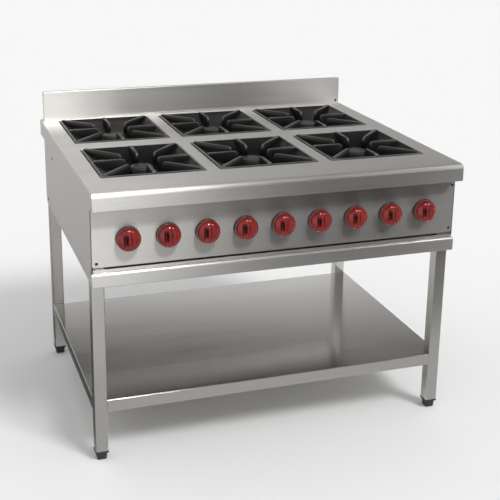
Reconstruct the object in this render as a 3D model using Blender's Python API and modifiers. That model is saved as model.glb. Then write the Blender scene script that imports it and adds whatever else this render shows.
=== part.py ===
"""Six-burner commercial gas range on an open stand, as separate parts.

Metres, +Z up. The origin is on the floor, below the middle of the worktop. The controls face -Y.
Each part is one named object, and a part that moves has its origin on its own axis.
"""
import math

import bmesh
import bpy
from mathutils import Matrix, Vector

# Overall size
WIDTH = 1.200
DEPTH = 1.000
WORKTOP_TOP = 0.890
OVERALL_TOP = 0.995
FRONT = -DEPTH / 2
REAR = DEPTH / 2
SHEET = 0.0015
GAP = 0.0003

# Worktop
APRON_HEIGHT = 0.055
NOSE_RADIUS = 0.016
HEM_DEPTH = 0.014
CUTOUT_WIDTH = 0.332
CUTOUT_DEPTH = 0.356
LEDGE_DROP = 0.008
LEDGE_WIDTH = 0.008
COLUMNS = (-0.374, 0.0, 0.374)
ROWS = (FRONT + 0.336, FRONT + 0.776)
UNDER_WORKTOP = WORKTOP_TOP - SHEET - GAP

# Backsplash
BACKSPLASH_INSET = 0.012
BACKSPLASH_FACE = REAR - 0.022

# Side and back panels
SIDE_FACE = 0.598
SIDE_BOTTOM = 0.597
BODY_FRONT = FRONT + 0.045
BODY_REAR = FRONT + 0.910
BACK_FACE = FRONT + 0.968
SIDE_FLANGE = 0.014

# Control panel
PANEL_BOTTOM = 0.648
PANEL_FOLD = 0.014
SHAFT_HOLE_RADIUS = 0.006

# Front rail
RAIL_FACE = FRONT + 0.033
RAIL_HALF_WIDTH = 0.599
RAIL_BOTTOM = 0.590
RAIL_TOP = 0.633
RAIL_EDGE_RADIUS = 0.005

# Legs and feet
LEG = 0.040
LEG_CORNER = 0.003
LEG_FRONT = FRONT + 0.0635
LEG_TOP = 0.860
FOOT_HEIGHT = 0.030
FOOT_FLANGE = 0.006
FOOT_OVERHANG = 0.001
FOOT_TOP_HALF = 0.0165
FOOT_BOTTOM_HALF = 0.0145
FOOT_FLANGE_CORNER = 0.002
FOOT_BLOCK_CORNER = 0.003
FOOT_STEM_RADIUS = 0.005
FOOT_STEM_RISE = 0.045

# Undershelf
SHELF_TOP = 0.2045
SHELF_LIP = 0.040

# Drip tray
TRAY_FACE = FRONT + 0.041
TRAY_REAR = FRONT + 0.860
TRAY_WALL = 0.0105
TRAY_LIP_HALF_WIDTH = 0.594
TRAY_LIP_DEPTH = 0.021
TRAY_SHEET = 0.0012
TRAY_SIDE_GAP = 0.0017
RUNNER_WIDTH = 0.052
RUNNER_HEIGHT = 0.025

# Knobs
KNOB_COUNT = 9
KNOB_SPACING = 0.1217
KNOB_HEIGHT = 0.735
KNOB_RADIUS = 0.0375
KNOB_DEPTH = 0.037
KNOB_CLEARANCE = 0.0015
COLLAR_DEPTH = 0.0065
COLLAR_EDGE = 0.001
DOME_FOOT_RADIUS = 0.0362
DOME = ((0.0, 0.0), (0.010, 0.0006), (0.020, 0.0035), (0.029, 0.0095), (0.0345, 0.018))
HOLLOWS = ((-0.011, 0.0075, 0.010), (0.0065, 0.0045, 0.005))
HOLLOW_HALF_LENGTH = 0.0215
HOLLOW_RISE = 0.0015
STEM_RADIUS = 0.004

# Gas train
VALVE_FRONT = FRONT + 0.060
VALVE_REAR = FRONT + 0.098
VALVE_RADIUS = 0.013
VALVE_NECK_RADIUS = 0.010
VALVE_NECK = 0.008
VALVE_TAIL_RADIUS = 0.008
VALVE_TAIL = 0.006
HOOD_RADIUS = 0.0065
STUB_OVERLAP = 0.004
HOOD_REAR = FRONT + 0.114
MANIFOLD_RADIUS = 0.0135
MANIFOLD_DEPTH = FRONT + 0.082
MANIFOLD_HEIGHT = 0.694
MANIFOLD_HALF_WIDTH = 0.540
INLET_X = 0.525
INLET_HEIGHT = 0.660
INLET_RADIUS = 0.0125
INLET_HOLE_MARGIN = 0.003
INLET_BEND = 0.016
INLET_END = REAR - 0.002
MIXER_RADIUS = 0.014
MIXER_MOUTH = FRONT + 0.122
MIXER_BELL = 0.028
MIXER_BELL_RADII = (1.35, 0.85)
MIXER_BEND = 0.12
MIXER_TURN = 0.150
PILOT_LANE = 0.064
PILOT_SWING = 0.090
PILOT_TUBE_RADIUS = 0.003
PILOT_TUBE_BEND = 0.012
PILOT_TIP_RADIUS = 0.0055
PILOT_TIP_BOTTOM = 0.850
PILOT_TIP_TOP = 0.868

# Burners and grates
HEAD_RADIUS = 0.037
HEAD_TOP = 0.871
HEAD_SEAT = 0.856
CAP_FLAT_RADIUS = 0.024
CAP_CROWN = 0.0005
CAP_EDGE_RADIUS = 0.004
CAP_SKIRT_INSET = 0.005
CAP_SKIRT = 0.004
CAP_LIP = 0.001
SEAT_RADIUS = 0.031
SEAT_DEPTH = 0.024
SEAT_NECK_RADIUS = 0.019
SEAT_TAPER = 0.045
SEAT_BASE_RADIUS = 0.026
SEAT_BASE = 0.004
GRATE_CLEARANCE = 0.002
RIM_WIDTH = 0.013
RIM_TOP = WORKTOP_TOP + 0.0025
FIN_TOP = WORKTOP_TOP + 0.007
FIN_WIDTH = 0.009
BOWL_HOLE_RADIUS = 0.050
BOWL_BOTTOM = 0.846
BOWL_THICKNESS = 0.004
BOWL_INSET = 0.0075
BOWL_CORNER = 0.010
BOWL_TOP = RIM_TOP - 0.004
BOWL_POINTS = 32
SIDE_FIN_TIPS = {0: 0.052, 90: 0.062, 180: 0.052, 270: 0.078}
CORNER_FIN_TIP = 0.080
SIDE_FIN_RAMP = 0.005
CORNER_FIN_RAMP = 0.014
SIDE_FIN_INSET = 0.004
CORNER_FIN_INSET = 0.011
FIN_NOSE = 0.012
FIN_NOSE_DROP = 0.010
FIN_HEEL = 0.010
FIN_SINK = 0.002
SUPPORT_TOP = 0.7165
SUPPORT_HEIGHT = 0.020
SUPPORT_WIDTH = 0.034

# Colours, roughness and metallic value of each finish
FINISHES = {
    "brushed_steel": ((0.56, 0.55, 0.53), 0.32, 1.0),
    "cast_iron": ((0.035, 0.034, 0.034), 0.55, 0.6),
    "red_knob": ((0.42, 0.02, 0.02), 0.18, 0.0),
    "black_plastic": ((0.02, 0.02, 0.02), 0.5, 0.0),
    "brass": ((0.65, 0.48, 0.22), 0.35, 1.0),
    "steel_pipe": ((0.30, 0.30, 0.31), 0.45, 1.0),
}


def clear_scene():
    """Start from an empty file."""
    for obj in list(bpy.data.objects):
        bpy.data.objects.remove(obj, do_unlink=True)


def make_collection(name):
    """Make a collection and hang it in the scene."""
    collection = bpy.data.collections.new(name)
    bpy.context.scene.collection.children.link(collection)
    return collection


def make_finish(name):
    """One Principled material for each finish."""
    colour, roughness, metallic = FINISHES[name]
    material = bpy.data.materials.new(name)
    material.use_nodes = True
    shader = material.node_tree.nodes["Principled BSDF"]
    shader.inputs["Base Color"].default_value = (*colour, 1.0)
    shader.inputs["Roughness"].default_value = roughness
    shader.inputs["Metallic"].default_value = metallic
    return material


clear_scene()
PARTS = make_collection("gas_range")
CUTTERS = make_collection("gas_range_cutters")
MATERIALS = {name: make_finish(name) for name in FINISHES}


# ---- general helpers -------------------------------------------------------

def mesh_object(name, bm, finish, location=(0, 0, 0)):
    """Turn a bmesh into a named part and free the bmesh."""
    mesh = bpy.data.meshes.new(name)
    bm.to_mesh(mesh)
    bm.free()
    mesh.materials.append(MATERIALS[finish])
    obj = bpy.data.objects.new(name, mesh)
    obj.location = location
    PARTS.objects.link(obj)
    return obj


def cutter_object(name, bm):
    """A hidden shape that only cuts or joins other parts."""
    mesh = bpy.data.meshes.new(name)
    bm.to_mesh(mesh)
    bm.free()
    obj = bpy.data.objects.new(name, mesh)
    obj.hide_render = True
    obj.display_type = "WIRE"
    CUTTERS.objects.link(obj)
    return obj


def box_bmesh(low, high, bm=None):
    """A closed box between two corners."""
    bm = bm or bmesh.new()
    low, high = Vector(low), Vector(high)
    made = bmesh.ops.create_cube(bm, size=1.0)["verts"]
    bmesh.ops.scale(bm, vec=high - low, verts=made)
    bmesh.ops.translate(bm, vec=(low + high) / 2, verts=made)
    return bm


def shell_bmesh(low, high, keep):
    """The kept sides of a box, as an open sheet. Sides are named such as -x or +z."""
    bm = box_bmesh(low, high)
    axes = {"x": 0, "y": 1, "z": 2}
    wanted = [(axes[side[1]], 1 if side[0] == "+" else -1) for side in keep]
    bm.normal_update()
    dropped = [
        face for face in bm.faces
        if not any(face.normal[axis] * sign > 0.9 for axis, sign in wanted)
    ]
    bmesh.ops.delete(bm, geom=dropped, context="FACES")
    return bm


def cut_lines(bm, axis, values):
    """Score a sheet along planes across one axis."""
    normal = [0.0, 0.0, 0.0]
    normal[axis] = 1.0
    for value in values:
        geometry = bm.verts[:] + bm.edges[:] + bm.faces[:]
        point = [coordinate * value for coordinate in normal]
        bmesh.ops.bisect_plane(bm, geom=geometry, dist=1e-6, plane_co=point, plane_no=normal)


def drop_faces(bm, is_dropped):
    """Remove the faces whose middle passes a test."""
    faces = [face for face in bm.faces if is_dropped(face.calc_center_median())]
    bmesh.ops.delete(bm, geom=faces, context="FACES")


def open_edges(bm):
    """The free edges of a sheet."""
    return [edge for edge in bm.edges if edge.is_boundary]


def extrude_edges(bm, edges, offset):
    """Fold a flange from free edges and return its new vertices."""
    grown = bmesh.ops.extrude_edge_only(bm, edges=edges)["geom"]
    verts = [item for item in grown if isinstance(item, bmesh.types.BMVert)]
    bmesh.ops.translate(bm, vec=offset, verts=verts)
    return verts


def merge_close(bm):
    """Weld vertices that lie on each other."""
    bmesh.ops.remove_doubles(bm, verts=bm.verts[:], dist=1e-6)


def thicken(obj, thickness=SHEET):
    """Give a sheet its thickness, on its inner side."""
    wall = obj.modifiers.new("sheet_thickness", "SOLIDIFY")
    wall.thickness = thickness
    wall.offset = -1.0
    wall.use_even_offset = True
    return obj


def combine(obj, tool, operation):
    """Cut or join with an exact Boolean."""
    step = obj.modifiers.new(operation.lower(), "BOOLEAN")
    step.operation = operation
    step.solver = "EXACT"
    step.object = tool


def apply_modifiers(obj):
    """Keep an object's evaluated mesh and drop its modifiers."""
    bpy.context.view_layer.update()
    graph = bpy.context.evaluated_depsgraph_get()
    mesh = bpy.data.meshes.new_from_object(obj.evaluated_get(graph))
    obj.modifiers.clear()
    obj.data = mesh


def drop_tools(*tools):
    """Remove helper shapes whose work has been applied."""
    for tool in tools:
        bpy.data.objects.remove(tool, do_unlink=True)


def shade_round(obj, angle=35.0):
    """Smooth the round faces and keep the real edges sharp."""
    obj.data.shade_smooth()
    obj.data.set_sharp_from_angle(angle=math.radians(angle))


def cylinder_bmesh(bm, start, end, radius, segments, end_radius=None):
    """A closed cylinder or cone between two points."""
    start, end = Vector(start), Vector(end)
    axis = end - start
    turn = axis.to_track_quat("Z", "Y").to_matrix().to_4x4()
    place = Matrix.Translation((start + end) / 2) @ turn
    bmesh.ops.create_cone(
        bm, cap_ends=True, segments=segments, radius1=radius,
        radius2=radius if end_radius is None else end_radius, depth=axis.length, matrix=place)
    return bm


def turned_part(name, profile, finish, steps, location=(0, 0, 0)):
    """Turn a profile of (radius, height) points, listed from the top down, about Z."""
    bm = bmesh.new()
    verts = [bm.verts.new((radius, 0.0, height)) for radius, height in profile]
    for upper, lower in zip(verts, verts[1:]):
        bm.edges.new((upper, lower))
    obj = mesh_object(name, bm, finish, location)
    screw = obj.modifiers.new("turning", "SCREW")
    screw.steps = steps
    screw.render_steps = steps
    screw.use_merge_vertices = True
    screw.merge_threshold = 0.00005
    return obj


def arc_points(centre, radius, start, end, count):
    """Points on an arc, as (first, second) pairs. Angles are in degrees."""
    points = []
    for index in range(count + 1):
        angle = math.radians(start + (end - start) * index / count)
        points.append((centre[0] + radius * math.cos(angle), centre[1] + radius * math.sin(angle)))
    return points


def bend_path(corners, radius, steps=4):
    """Round the inner corners of a path of straight runs."""
    corners = [Vector(corner) for corner in corners]
    path = [corners[0]]
    for before, corner, after in zip(corners, corners[1:], corners[2:]):
        inward = (before - corner).normalized()
        outward = (after - corner).normalized()
        half_angle = inward.angle(outward) / 2
        reach = radius / math.tan(half_angle)
        first, last = corner + inward * reach, corner + outward * reach
        for index in range(steps + 1):
            share = index / steps
            path.append(first.lerp(corner, share).lerp(corner.lerp(last, share), share))
    path.append(corners[-1])
    return path


def pipe_mesh_object(name, path, radius, finish, resolution=3, radii=None):
    """A round solid bar along a path, as a closed mesh."""
    curve = bpy.data.curves.new(name, "CURVE")
    curve.dimensions = "3D"
    curve.bevel_depth = radius
    curve.bevel_resolution = resolution
    curve.use_fill_caps = True
    spline = curve.splines.new("POLY")
    spline.points.add(len(path) - 1)
    for index, (point, place) in enumerate(zip(spline.points, path)):
        point.co = (*place, 1.0)
        point.radius = radii[index] if radii else 1.0
    guide = bpy.data.objects.new(name + "_path", curve)
    PARTS.objects.link(guide)
    bpy.context.view_layer.update()
    graph = bpy.context.evaluated_depsgraph_get()
    mesh = bpy.data.meshes.new_from_object(guide.evaluated_get(graph))
    bm = bmesh.new()
    bm.from_mesh(mesh)
    merge_close(bm)
    bpy.data.objects.remove(guide, do_unlink=True)
    obj = mesh_object(name, bm, finish)
    return obj


def knob_places():
    """The x of each knob, from left to right."""
    middle = (KNOB_COUNT - 1) / 2
    return [(index - middle) * KNOB_SPACING for index in range(KNOB_COUNT)]


# ---- sheet metal -----------------------------------------------------------

def in_cutout(point):
    """True where a point of the worktop lies in one of the six cut-outs."""
    on_top = point.z > WORKTOP_TOP - GAP
    in_column = any(abs(point.x - column) < CUTOUT_WIDTH / 2 for column in COLUMNS)
    in_row = any(abs(point.y - row) < CUTOUT_DEPTH / 2 for row in ROWS)
    return on_top and in_column and in_row


def make_worktop():
    """A folded tray with a round nose, a hemmed apron and six ledged cut-outs."""
    skirt_bottom = WORKTOP_TOP - APRON_HEIGHT
    low = (-WIDTH / 2, FRONT, skirt_bottom)
    high = (WIDTH / 2, REAR, WORKTOP_TOP)
    bm = shell_bmesh(low, high, ("-x", "+x", "-y", "+y", "+z"))
    nose = [
        edge for edge in bm.edges
        if all(vert.co.z > WORKTOP_TOP - GAP and vert.co.y < FRONT + GAP for vert in edge.verts)
    ]
    bmesh.ops.bevel(
        bm, geom=nose, offset=NOSE_RADIUS, offset_type="OFFSET", segments=6, profile=0.5,
        affect="EDGES", material=-1)
    cut_lines(bm, 1, (FRONT + 2 * NOSE_RADIUS,))
    hem = [
        edge for edge in open_edges(bm)
        if all(vert.co.y < FRONT + GAP for vert in edge.verts)
    ]
    hem_verts = extrude_edges(bm, hem, (0, HEM_DEPTH, 0))
    bmesh.ops.scale(bm, vec=((WIDTH - 2 * HEM_DEPTH) / WIDTH, 1, 1), verts=hem_verts)
    column_lines = [column + side * CUTOUT_WIDTH / 2 for column in COLUMNS for side in (-1, 1)]
    row_lines = [row + side * CUTOUT_DEPTH / 2 for row in ROWS for side in (-1, 1)]
    score_top(bm, 0, column_lines)
    score_top(bm, 1, row_lines)
    drop_faces(bm, in_cutout)
    for column in COLUMNS:
        for row in ROWS:
            fold_ledge(bm, column, row)
    return thicken(mesh_object("worktop", bm, "brushed_steel"))


def score_top(bm, axis, values):
    """Score only the flat top of the worktop."""
    normal = [0.0, 0.0, 0.0]
    normal[axis] = 1.0
    for value in values:
        faces = [
            face for face in bm.faces
            if all(vert.co.z > WORKTOP_TOP - GAP for vert in face.verts)
        ]
        edges = {edge for face in faces for edge in face.edges}
        verts = {vert for face in faces for vert in face.verts}
        point = [coordinate * value for coordinate in normal]
        bmesh.ops.bisect_plane(
            bm, geom=list(verts) + list(edges) + faces, dist=1e-6, plane_co=point, plane_no=normal)


def fold_ledge(bm, column, row):
    """Fold a cut-out's edge down and then in, so that the grate's rim rests on it."""
    def on_rim(vert):
        beside = abs(abs(vert.co.x - column) - CUTOUT_WIDTH / 2) < GAP
        before = abs(abs(vert.co.y - row) - CUTOUT_DEPTH / 2) < GAP
        inside_x = abs(vert.co.x - column) < CUTOUT_WIDTH / 2 + GAP
        inside_y = abs(vert.co.y - row) < CUTOUT_DEPTH / 2 + GAP
        return vert.co.z > WORKTOP_TOP - GAP and inside_x and inside_y and (beside or before)

    rim = [edge for edge in open_edges(bm) if all(on_rim(vert) for vert in edge.verts)]
    lower = extrude_edges(bm, rim, (0, 0, -LEDGE_DROP))
    ledge_edges = [
        edge for edge in open_edges(bm) if all(vert in lower for vert in edge.verts)
    ]
    ledge = extrude_edges(bm, ledge_edges, (0, 0, 0))
    shrink = (1 - 2 * LEDGE_WIDTH / CUTOUT_WIDTH, 1 - 2 * LEDGE_WIDTH / CUTOUT_DEPTH, 1)
    centre = Matrix.Translation((-column, -row, 0))
    bmesh.ops.scale(bm, vec=shrink, space=centre, verts=ledge)


def make_backsplash():
    """A hollow upstand, open below, on the worktop's rear strip."""
    half_width = WIDTH / 2 - BACKSPLASH_INSET
    low = (-half_width, BACKSPLASH_FACE, WORKTOP_TOP + GAP)
    high = (half_width, REAR - SHEET, OVERALL_TOP)
    bm = shell_bmesh(low, high, ("-x", "+x", "-y", "+y", "+z"))
    return thicken(mesh_object("backsplash", bm, "brushed_steel"))


def make_side_panel(name, side):
    """A side panel with a notch for the front rail and a flange between the legs."""
    inner = SIDE_FACE - SIDE_FLANGE
    low = (min(side * inner, side * SIDE_FACE), BODY_FRONT, SIDE_BOTTOM)
    high = (max(side * inner, side * SIDE_FACE), BODY_REAR, UNDER_WORKTOP)
    outer_side = "+x" if side > 0 else "-x"
    bm = shell_bmesh(low, high, (outer_side, "-z"))
    flange_front = LEG_FRONT + LEG + 4 * SHEET
    flange_rear = BODY_REAR - LEG - 4 * SHEET
    notch_rear = LEG_FRONT + 2 * GAP
    notch_top = RAIL_TOP + 2 * SHEET
    cut_lines(bm, 1, (notch_rear, flange_front - SHEET, flange_front, flange_rear, flange_rear + SHEET))
    cut_lines(bm, 2, (notch_top,))
    drop_faces(bm, lambda point: point.y < notch_rear and point.z < notch_top)
    drop_faces(bm, lambda point: point.z < SIDE_BOTTOM + GAP and not
               flange_front < point.y < flange_rear)
    return thicken(mesh_object(name, bm, "brushed_steel"))


def make_back_panel():
    """A folded back cover, with a hole for the gas inlet."""
    half_width = SIDE_FACE - 4 * SHEET
    low = (-half_width, BODY_REAR + GAP, SIDE_BOTTOM)
    high = (half_width, BACK_FACE, UNDER_WORKTOP - LEDGE_DROP)
    bm = shell_bmesh(low, high, ("-x", "+x", "+y", "-z"))
    panel = thicken(mesh_object("back_panel", bm, "brushed_steel"))
    hole = bmesh.new()
    start = (INLET_X, BACK_FACE - 0.010, INLET_HEIGHT)
    end = (INLET_X, BACK_FACE + 0.010, INLET_HEIGHT)
    cylinder_bmesh(hole, start, end, INLET_RADIUS + INLET_HOLE_MARGIN, 20)
    combine(panel, cutter_object("inlet_hole_cutter", hole), "DIFFERENCE")
    return panel


def make_control_panel():
    """The panel behind the knobs, with folded edges and one hole for each shaft."""
    half_width = SIDE_FACE - SHEET - 2 * GAP
    low = (-half_width, BODY_FRONT, PANEL_BOTTOM)
    high = (half_width, BODY_FRONT + PANEL_FOLD, UNDER_WORKTOP)
    bm = shell_bmesh(low, high, ("-x", "+x", "-y", "-z"))
    panel = thicken(mesh_object("control_panel", bm, "brushed_steel"))
    holes = bmesh.new()
    for x in knob_places():
        start = (x, BODY_FRONT - 0.005, KNOB_HEIGHT)
        end = (x, BODY_FRONT + 0.005, KNOB_HEIGHT)
        cylinder_bmesh(holes, start, end, SHAFT_HOLE_RADIUS, 12)
    combine(panel, cutter_object("shaft_hole_cutter", holes), "DIFFERENCE")
    return panel


def make_front_rail():
    """A channel across the front, closed at both ends, with a soft top edge."""
    low = (-RAIL_HALF_WIDTH, RAIL_FACE, RAIL_BOTTOM)
    high = (RAIL_HALF_WIDTH, LEG_FRONT - GAP, RAIL_TOP)
    bm = shell_bmesh(low, high, ("-x", "+x", "-y", "-z", "+z"))
    upper_front = [
        edge for edge in bm.edges
        if all(vert.co.z > RAIL_TOP - GAP and vert.co.y < RAIL_FACE + GAP for vert in edge.verts)
    ]
    bmesh.ops.bevel(
        bm, geom=upper_front, offset=RAIL_EDGE_RADIUS, offset_type="OFFSET", segments=3, profile=0.5,
        affect="EDGES", material=-1)
    return thicken(mesh_object("front_rail", bm, "brushed_steel"))


# ---- stand -----------------------------------------------------------------

def leg_places():
    """Name and low corner of each leg."""
    outer = SIDE_FACE - SHEET - GAP
    rear_leg_front = BODY_REAR - LEG
    return {
        "front_left": (-outer, LEG_FRONT),
        "front_right": (outer - LEG, LEG_FRONT),
        "rear_left": (-outer, rear_leg_front),
        "rear_right": (outer - LEG, rear_leg_front),
    }


def make_leg(place, corner):
    """A square tube, open at both ends."""
    low = (corner[0], corner[1], FOOT_HEIGHT)
    high = (corner[0] + LEG, corner[1] + LEG, LEG_TOP)
    bm = shell_bmesh(low, high, ("-x", "+x", "-y", "+y"))
    upright = [
        edge for edge in bm.edges if abs(edge.verts[0].co.z - edge.verts[1].co.z) > LEG
    ]
    bmesh.ops.bevel(
        bm, geom=upright, offset=LEG_CORNER, offset_type="OFFSET", segments=2, profile=0.5,
        affect="EDGES", material=-1)
    leg = thicken(mesh_object("leg_" + place, bm, "brushed_steel"))
    shade_round(leg)
    return leg


def make_foot_mesh():
    """A flanged, tapered foot with a screwed stem that runs up into the leg."""
    flange_top = FOOT_HEIGHT - GAP
    flange_half = LEG / 2 + FOOT_OVERHANG
    bm = box_bmesh((-flange_half, -flange_half, flange_top - FOOT_FLANGE),
                   (flange_half, flange_half, flange_top))
    block = box_bmesh((-1, -1, 0.0), (1, 1, flange_top - FOOT_FLANGE / 2))
    for vert in block.verts:
        half = FOOT_TOP_HALF if vert.co.z > GAP else FOOT_BOTTOM_HALF
        vert.co.x = math.copysign(half, vert.co.x)
        vert.co.y = math.copysign(half, vert.co.y)
    soften(bm, FOOT_FLANGE_CORNER)
    soften(block, FOOT_BLOCK_CORNER)
    flange = mesh_object("foot_flange", bm, "black_plastic")
    tools = [cutter_object("foot_block", block)]
    stem = bmesh.new()
    stem_low = (0, 0, flange_top - FOOT_FLANGE / 2)
    stem_high = (0, 0, FOOT_HEIGHT + FOOT_STEM_RISE)
    cylinder_bmesh(stem, stem_low, stem_high, FOOT_STEM_RADIUS, 12)
    tools.append(cutter_object("foot_stem", stem))
    for tool in tools:
        combine(flange, tool, "UNION")
    apply_modifiers(flange)
    mesh = flange.data
    mesh.shade_smooth()
    mesh.set_sharp_from_angle(angle=math.radians(40))
    drop_tools(flange, *tools)
    return mesh


def soften(bm, width):
    """Round a block's upright edges."""
    upright = [
        edge for edge in bm.edges
        if (edge.verts[0].co - edge.verts[1].co).normalized().z ** 2 > 0.5
    ]
    bmesh.ops.bevel(
        bm, geom=upright, offset=width, offset_type="OFFSET", segments=2, profile=0.5,
        affect="EDGES", material=-1)


def make_feet_and_legs():
    """Four legs and the four feet below them."""
    foot_mesh = make_foot_mesh()
    for place, corner in leg_places().items():
        make_leg(place, corner)
        foot = bpy.data.objects.new("foot_" + place, foot_mesh)
        foot.location = (corner[0] + LEG / 2, corner[1] + LEG / 2, 0.0)
        PARTS.objects.link(foot)


def make_undershelf():
    """A shelf with lips turned down, notched round the front legs."""
    outer = SIDE_FACE - SHEET - GAP
    leg_inner = outer - LEG - GAP
    leg_rear = LEG_FRONT + LEG + GAP
    low = (-outer, LEG_FRONT, SHELF_TOP - SHELF_LIP)
    high = (outer, BODY_REAR - LEG - GAP, SHELF_TOP)
    bm = shell_bmesh(low, high, ("-x", "+x", "-y", "+y", "+z"))
    cut_lines(bm, 0, (-leg_inner, leg_inner))
    cut_lines(bm, 1, (leg_rear,))
    drop_faces(bm, lambda point: abs(point.x) > leg_inner and point.y < leg_rear)
    return thicken(mesh_object("undershelf", bm, "brushed_steel"))


# ---- tray and supports -----------------------------------------------------

def make_drip_tray():
    """A shallow tray whose wide front lip runs in front of the legs."""
    inner = SIDE_FACE - SHEET - GAP - LEG - TRAY_SIDE_GAP
    lip_rear = TRAY_FACE + TRAY_LIP_DEPTH
    floor = RAIL_TOP + 2 * GAP
    low = (-TRAY_LIP_HALF_WIDTH, TRAY_FACE, floor)
    high = (TRAY_LIP_HALF_WIDTH, TRAY_REAR, floor + TRAY_WALL)
    bm = shell_bmesh(low, high, ("-z",))
    bmesh.ops.reverse_faces(bm, faces=bm.faces[:])
    cut_lines(bm, 0, (-inner, inner))
    cut_lines(bm, 1, (lip_rear,))
    drop_faces(bm, lambda point: abs(point.x) > inner and point.y > lip_rear)
    extrude_edges(bm, open_edges(bm), (0, 0, TRAY_WALL))
    bmesh.ops.reverse_faces(bm, faces=bm.faces[:])
    return thicken(mesh_object("drip_tray", bm, "brushed_steel"), TRAY_SHEET)


def make_tray_runner(name, side):
    """An angle along the body's side that carries the tray."""
    wall = SIDE_FACE - SHEET - GAP
    inner = wall - RUNNER_WIDTH
    shelf = RAIL_TOP - 2 * SHEET
    low = (min(side * inner, side * wall), LEG_FRONT + LEG + 2 * GAP, shelf)
    high = (max(side * inner, side * wall), BODY_REAR - LEG - 2 * GAP, shelf + RUNNER_HEIGHT)
    outer_side = "+x" if side > 0 else "-x"
    bm = shell_bmesh(low, high, (outer_side, "-z"))
    return thicken(mesh_object(name, bm, "brushed_steel"))


def make_burner_support(name, row):
    """A channel from side to side, under one row of burners."""
    half_width = SIDE_FACE - SHEET - GAP
    low = (-half_width, row - SUPPORT_WIDTH / 2, SUPPORT_TOP - SUPPORT_HEIGHT)
    high = (half_width, row + SUPPORT_WIDTH / 2, SUPPORT_TOP)
    bm = shell_bmesh(low, high, ("-y", "+y", "+z"))
    return thicken(mesh_object(name, bm, "brushed_steel"))


# ---- burners and grates ----------------------------------------------------

def bowl_angles():
    """Evenly spread angles, none of them on a corner."""
    return [math.radians(45.0 + 360.0 * (index + 0.5) / BOWL_POINTS) for index in range(BOWL_POINTS)]


def rounded_rectangle(half_width, half_depth, radius, height):
    """Points round a rectangle with round corners, evenly spread by angle."""
    points = []
    for angle in bowl_angles():
        direction = Vector((math.cos(angle), math.sin(angle)))
        scale = min(half_width / max(abs(direction.x), 1e-9), half_depth / max(abs(direction.y), 1e-9))
        x, y = direction * scale
        if abs(x) > half_width - radius and abs(y) > half_depth - radius:
            corner = Vector((math.copysign(half_width - radius, x), math.copysign(half_depth - radius, y)))
            out = Vector((x, y)) - corner
            x, y = corner + out.normalized() * radius
        points.append((x, y, height))
    return points


def loop_of(bm, points):
    """A closed ring of vertices and edges."""
    verts = [bm.verts.new(point) for point in points]
    return [bm.edges.new((verts[i], verts[(i + 1) % len(verts)])) for i in range(len(verts))]


def make_grate_mesh():
    """One cast grate: a rim, a sloping bowl with a round hole, and eight fins."""
    half_width = CUTOUT_WIDTH / 2 - GRATE_CLEARANCE
    half_depth = CUTOUT_DEPTH / 2 - GRATE_CLEARANCE
    rim_low = WORKTOP_TOP - LEDGE_DROP + GAP
    rim = shell_bmesh((-half_width, -half_depth, rim_low), (half_width, half_depth, RIM_TOP), ("+z",))
    ring = bmesh.ops.inset_region(
        rim, faces=rim.faces[:], thickness=RIM_WIDTH, use_boundary=True, use_even_offset=True)["faces"]
    inner = [face for face in rim.faces if face not in ring]
    bmesh.ops.delete(rim, geom=inner, context="FACES")
    grate = thicken(mesh_object("grate_rim", rim, "cast_iron"), RIM_TOP - rim_low)
    bowl = make_bowl(half_width - BOWL_INSET, half_depth - BOWL_INSET)
    tools = [bowl]
    for angle in range(0, 360, 45):
        tools.append(make_fin(angle, half_width, half_depth))
    for tool in tools:
        combine(grate, tool, "UNION")
    apply_modifiers(grate)
    mesh = grate.data
    drop_tools(grate, *tools)
    return mesh


def make_bowl(half_width, half_depth):
    """The sloping dish that joins the rim to the round hole over the burner."""
    bm = bmesh.new()
    outer = loop_of(bm, rounded_rectangle(half_width, half_depth, BOWL_CORNER, BOWL_TOP))
    circle = [
        (BOWL_HOLE_RADIUS * math.cos(angle), BOWL_HOLE_RADIUS * math.sin(angle), BOWL_BOTTOM)
        for angle in bowl_angles()
    ]
    inner = loop_of(bm, circle)
    bmesh.ops.bridge_loops(bm, edges=outer + inner)
    bmesh.ops.recalc_face_normals(bm, faces=bm.faces[:])
    if sum(face.normal.z for face in bm.faces) < 0:
        bmesh.ops.reverse_faces(bm, faces=bm.faces[:])
    bowl = cutter_object("grate_bowl", bm)
    thicken(bowl, BOWL_THICKNESS)
    return bowl


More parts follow.
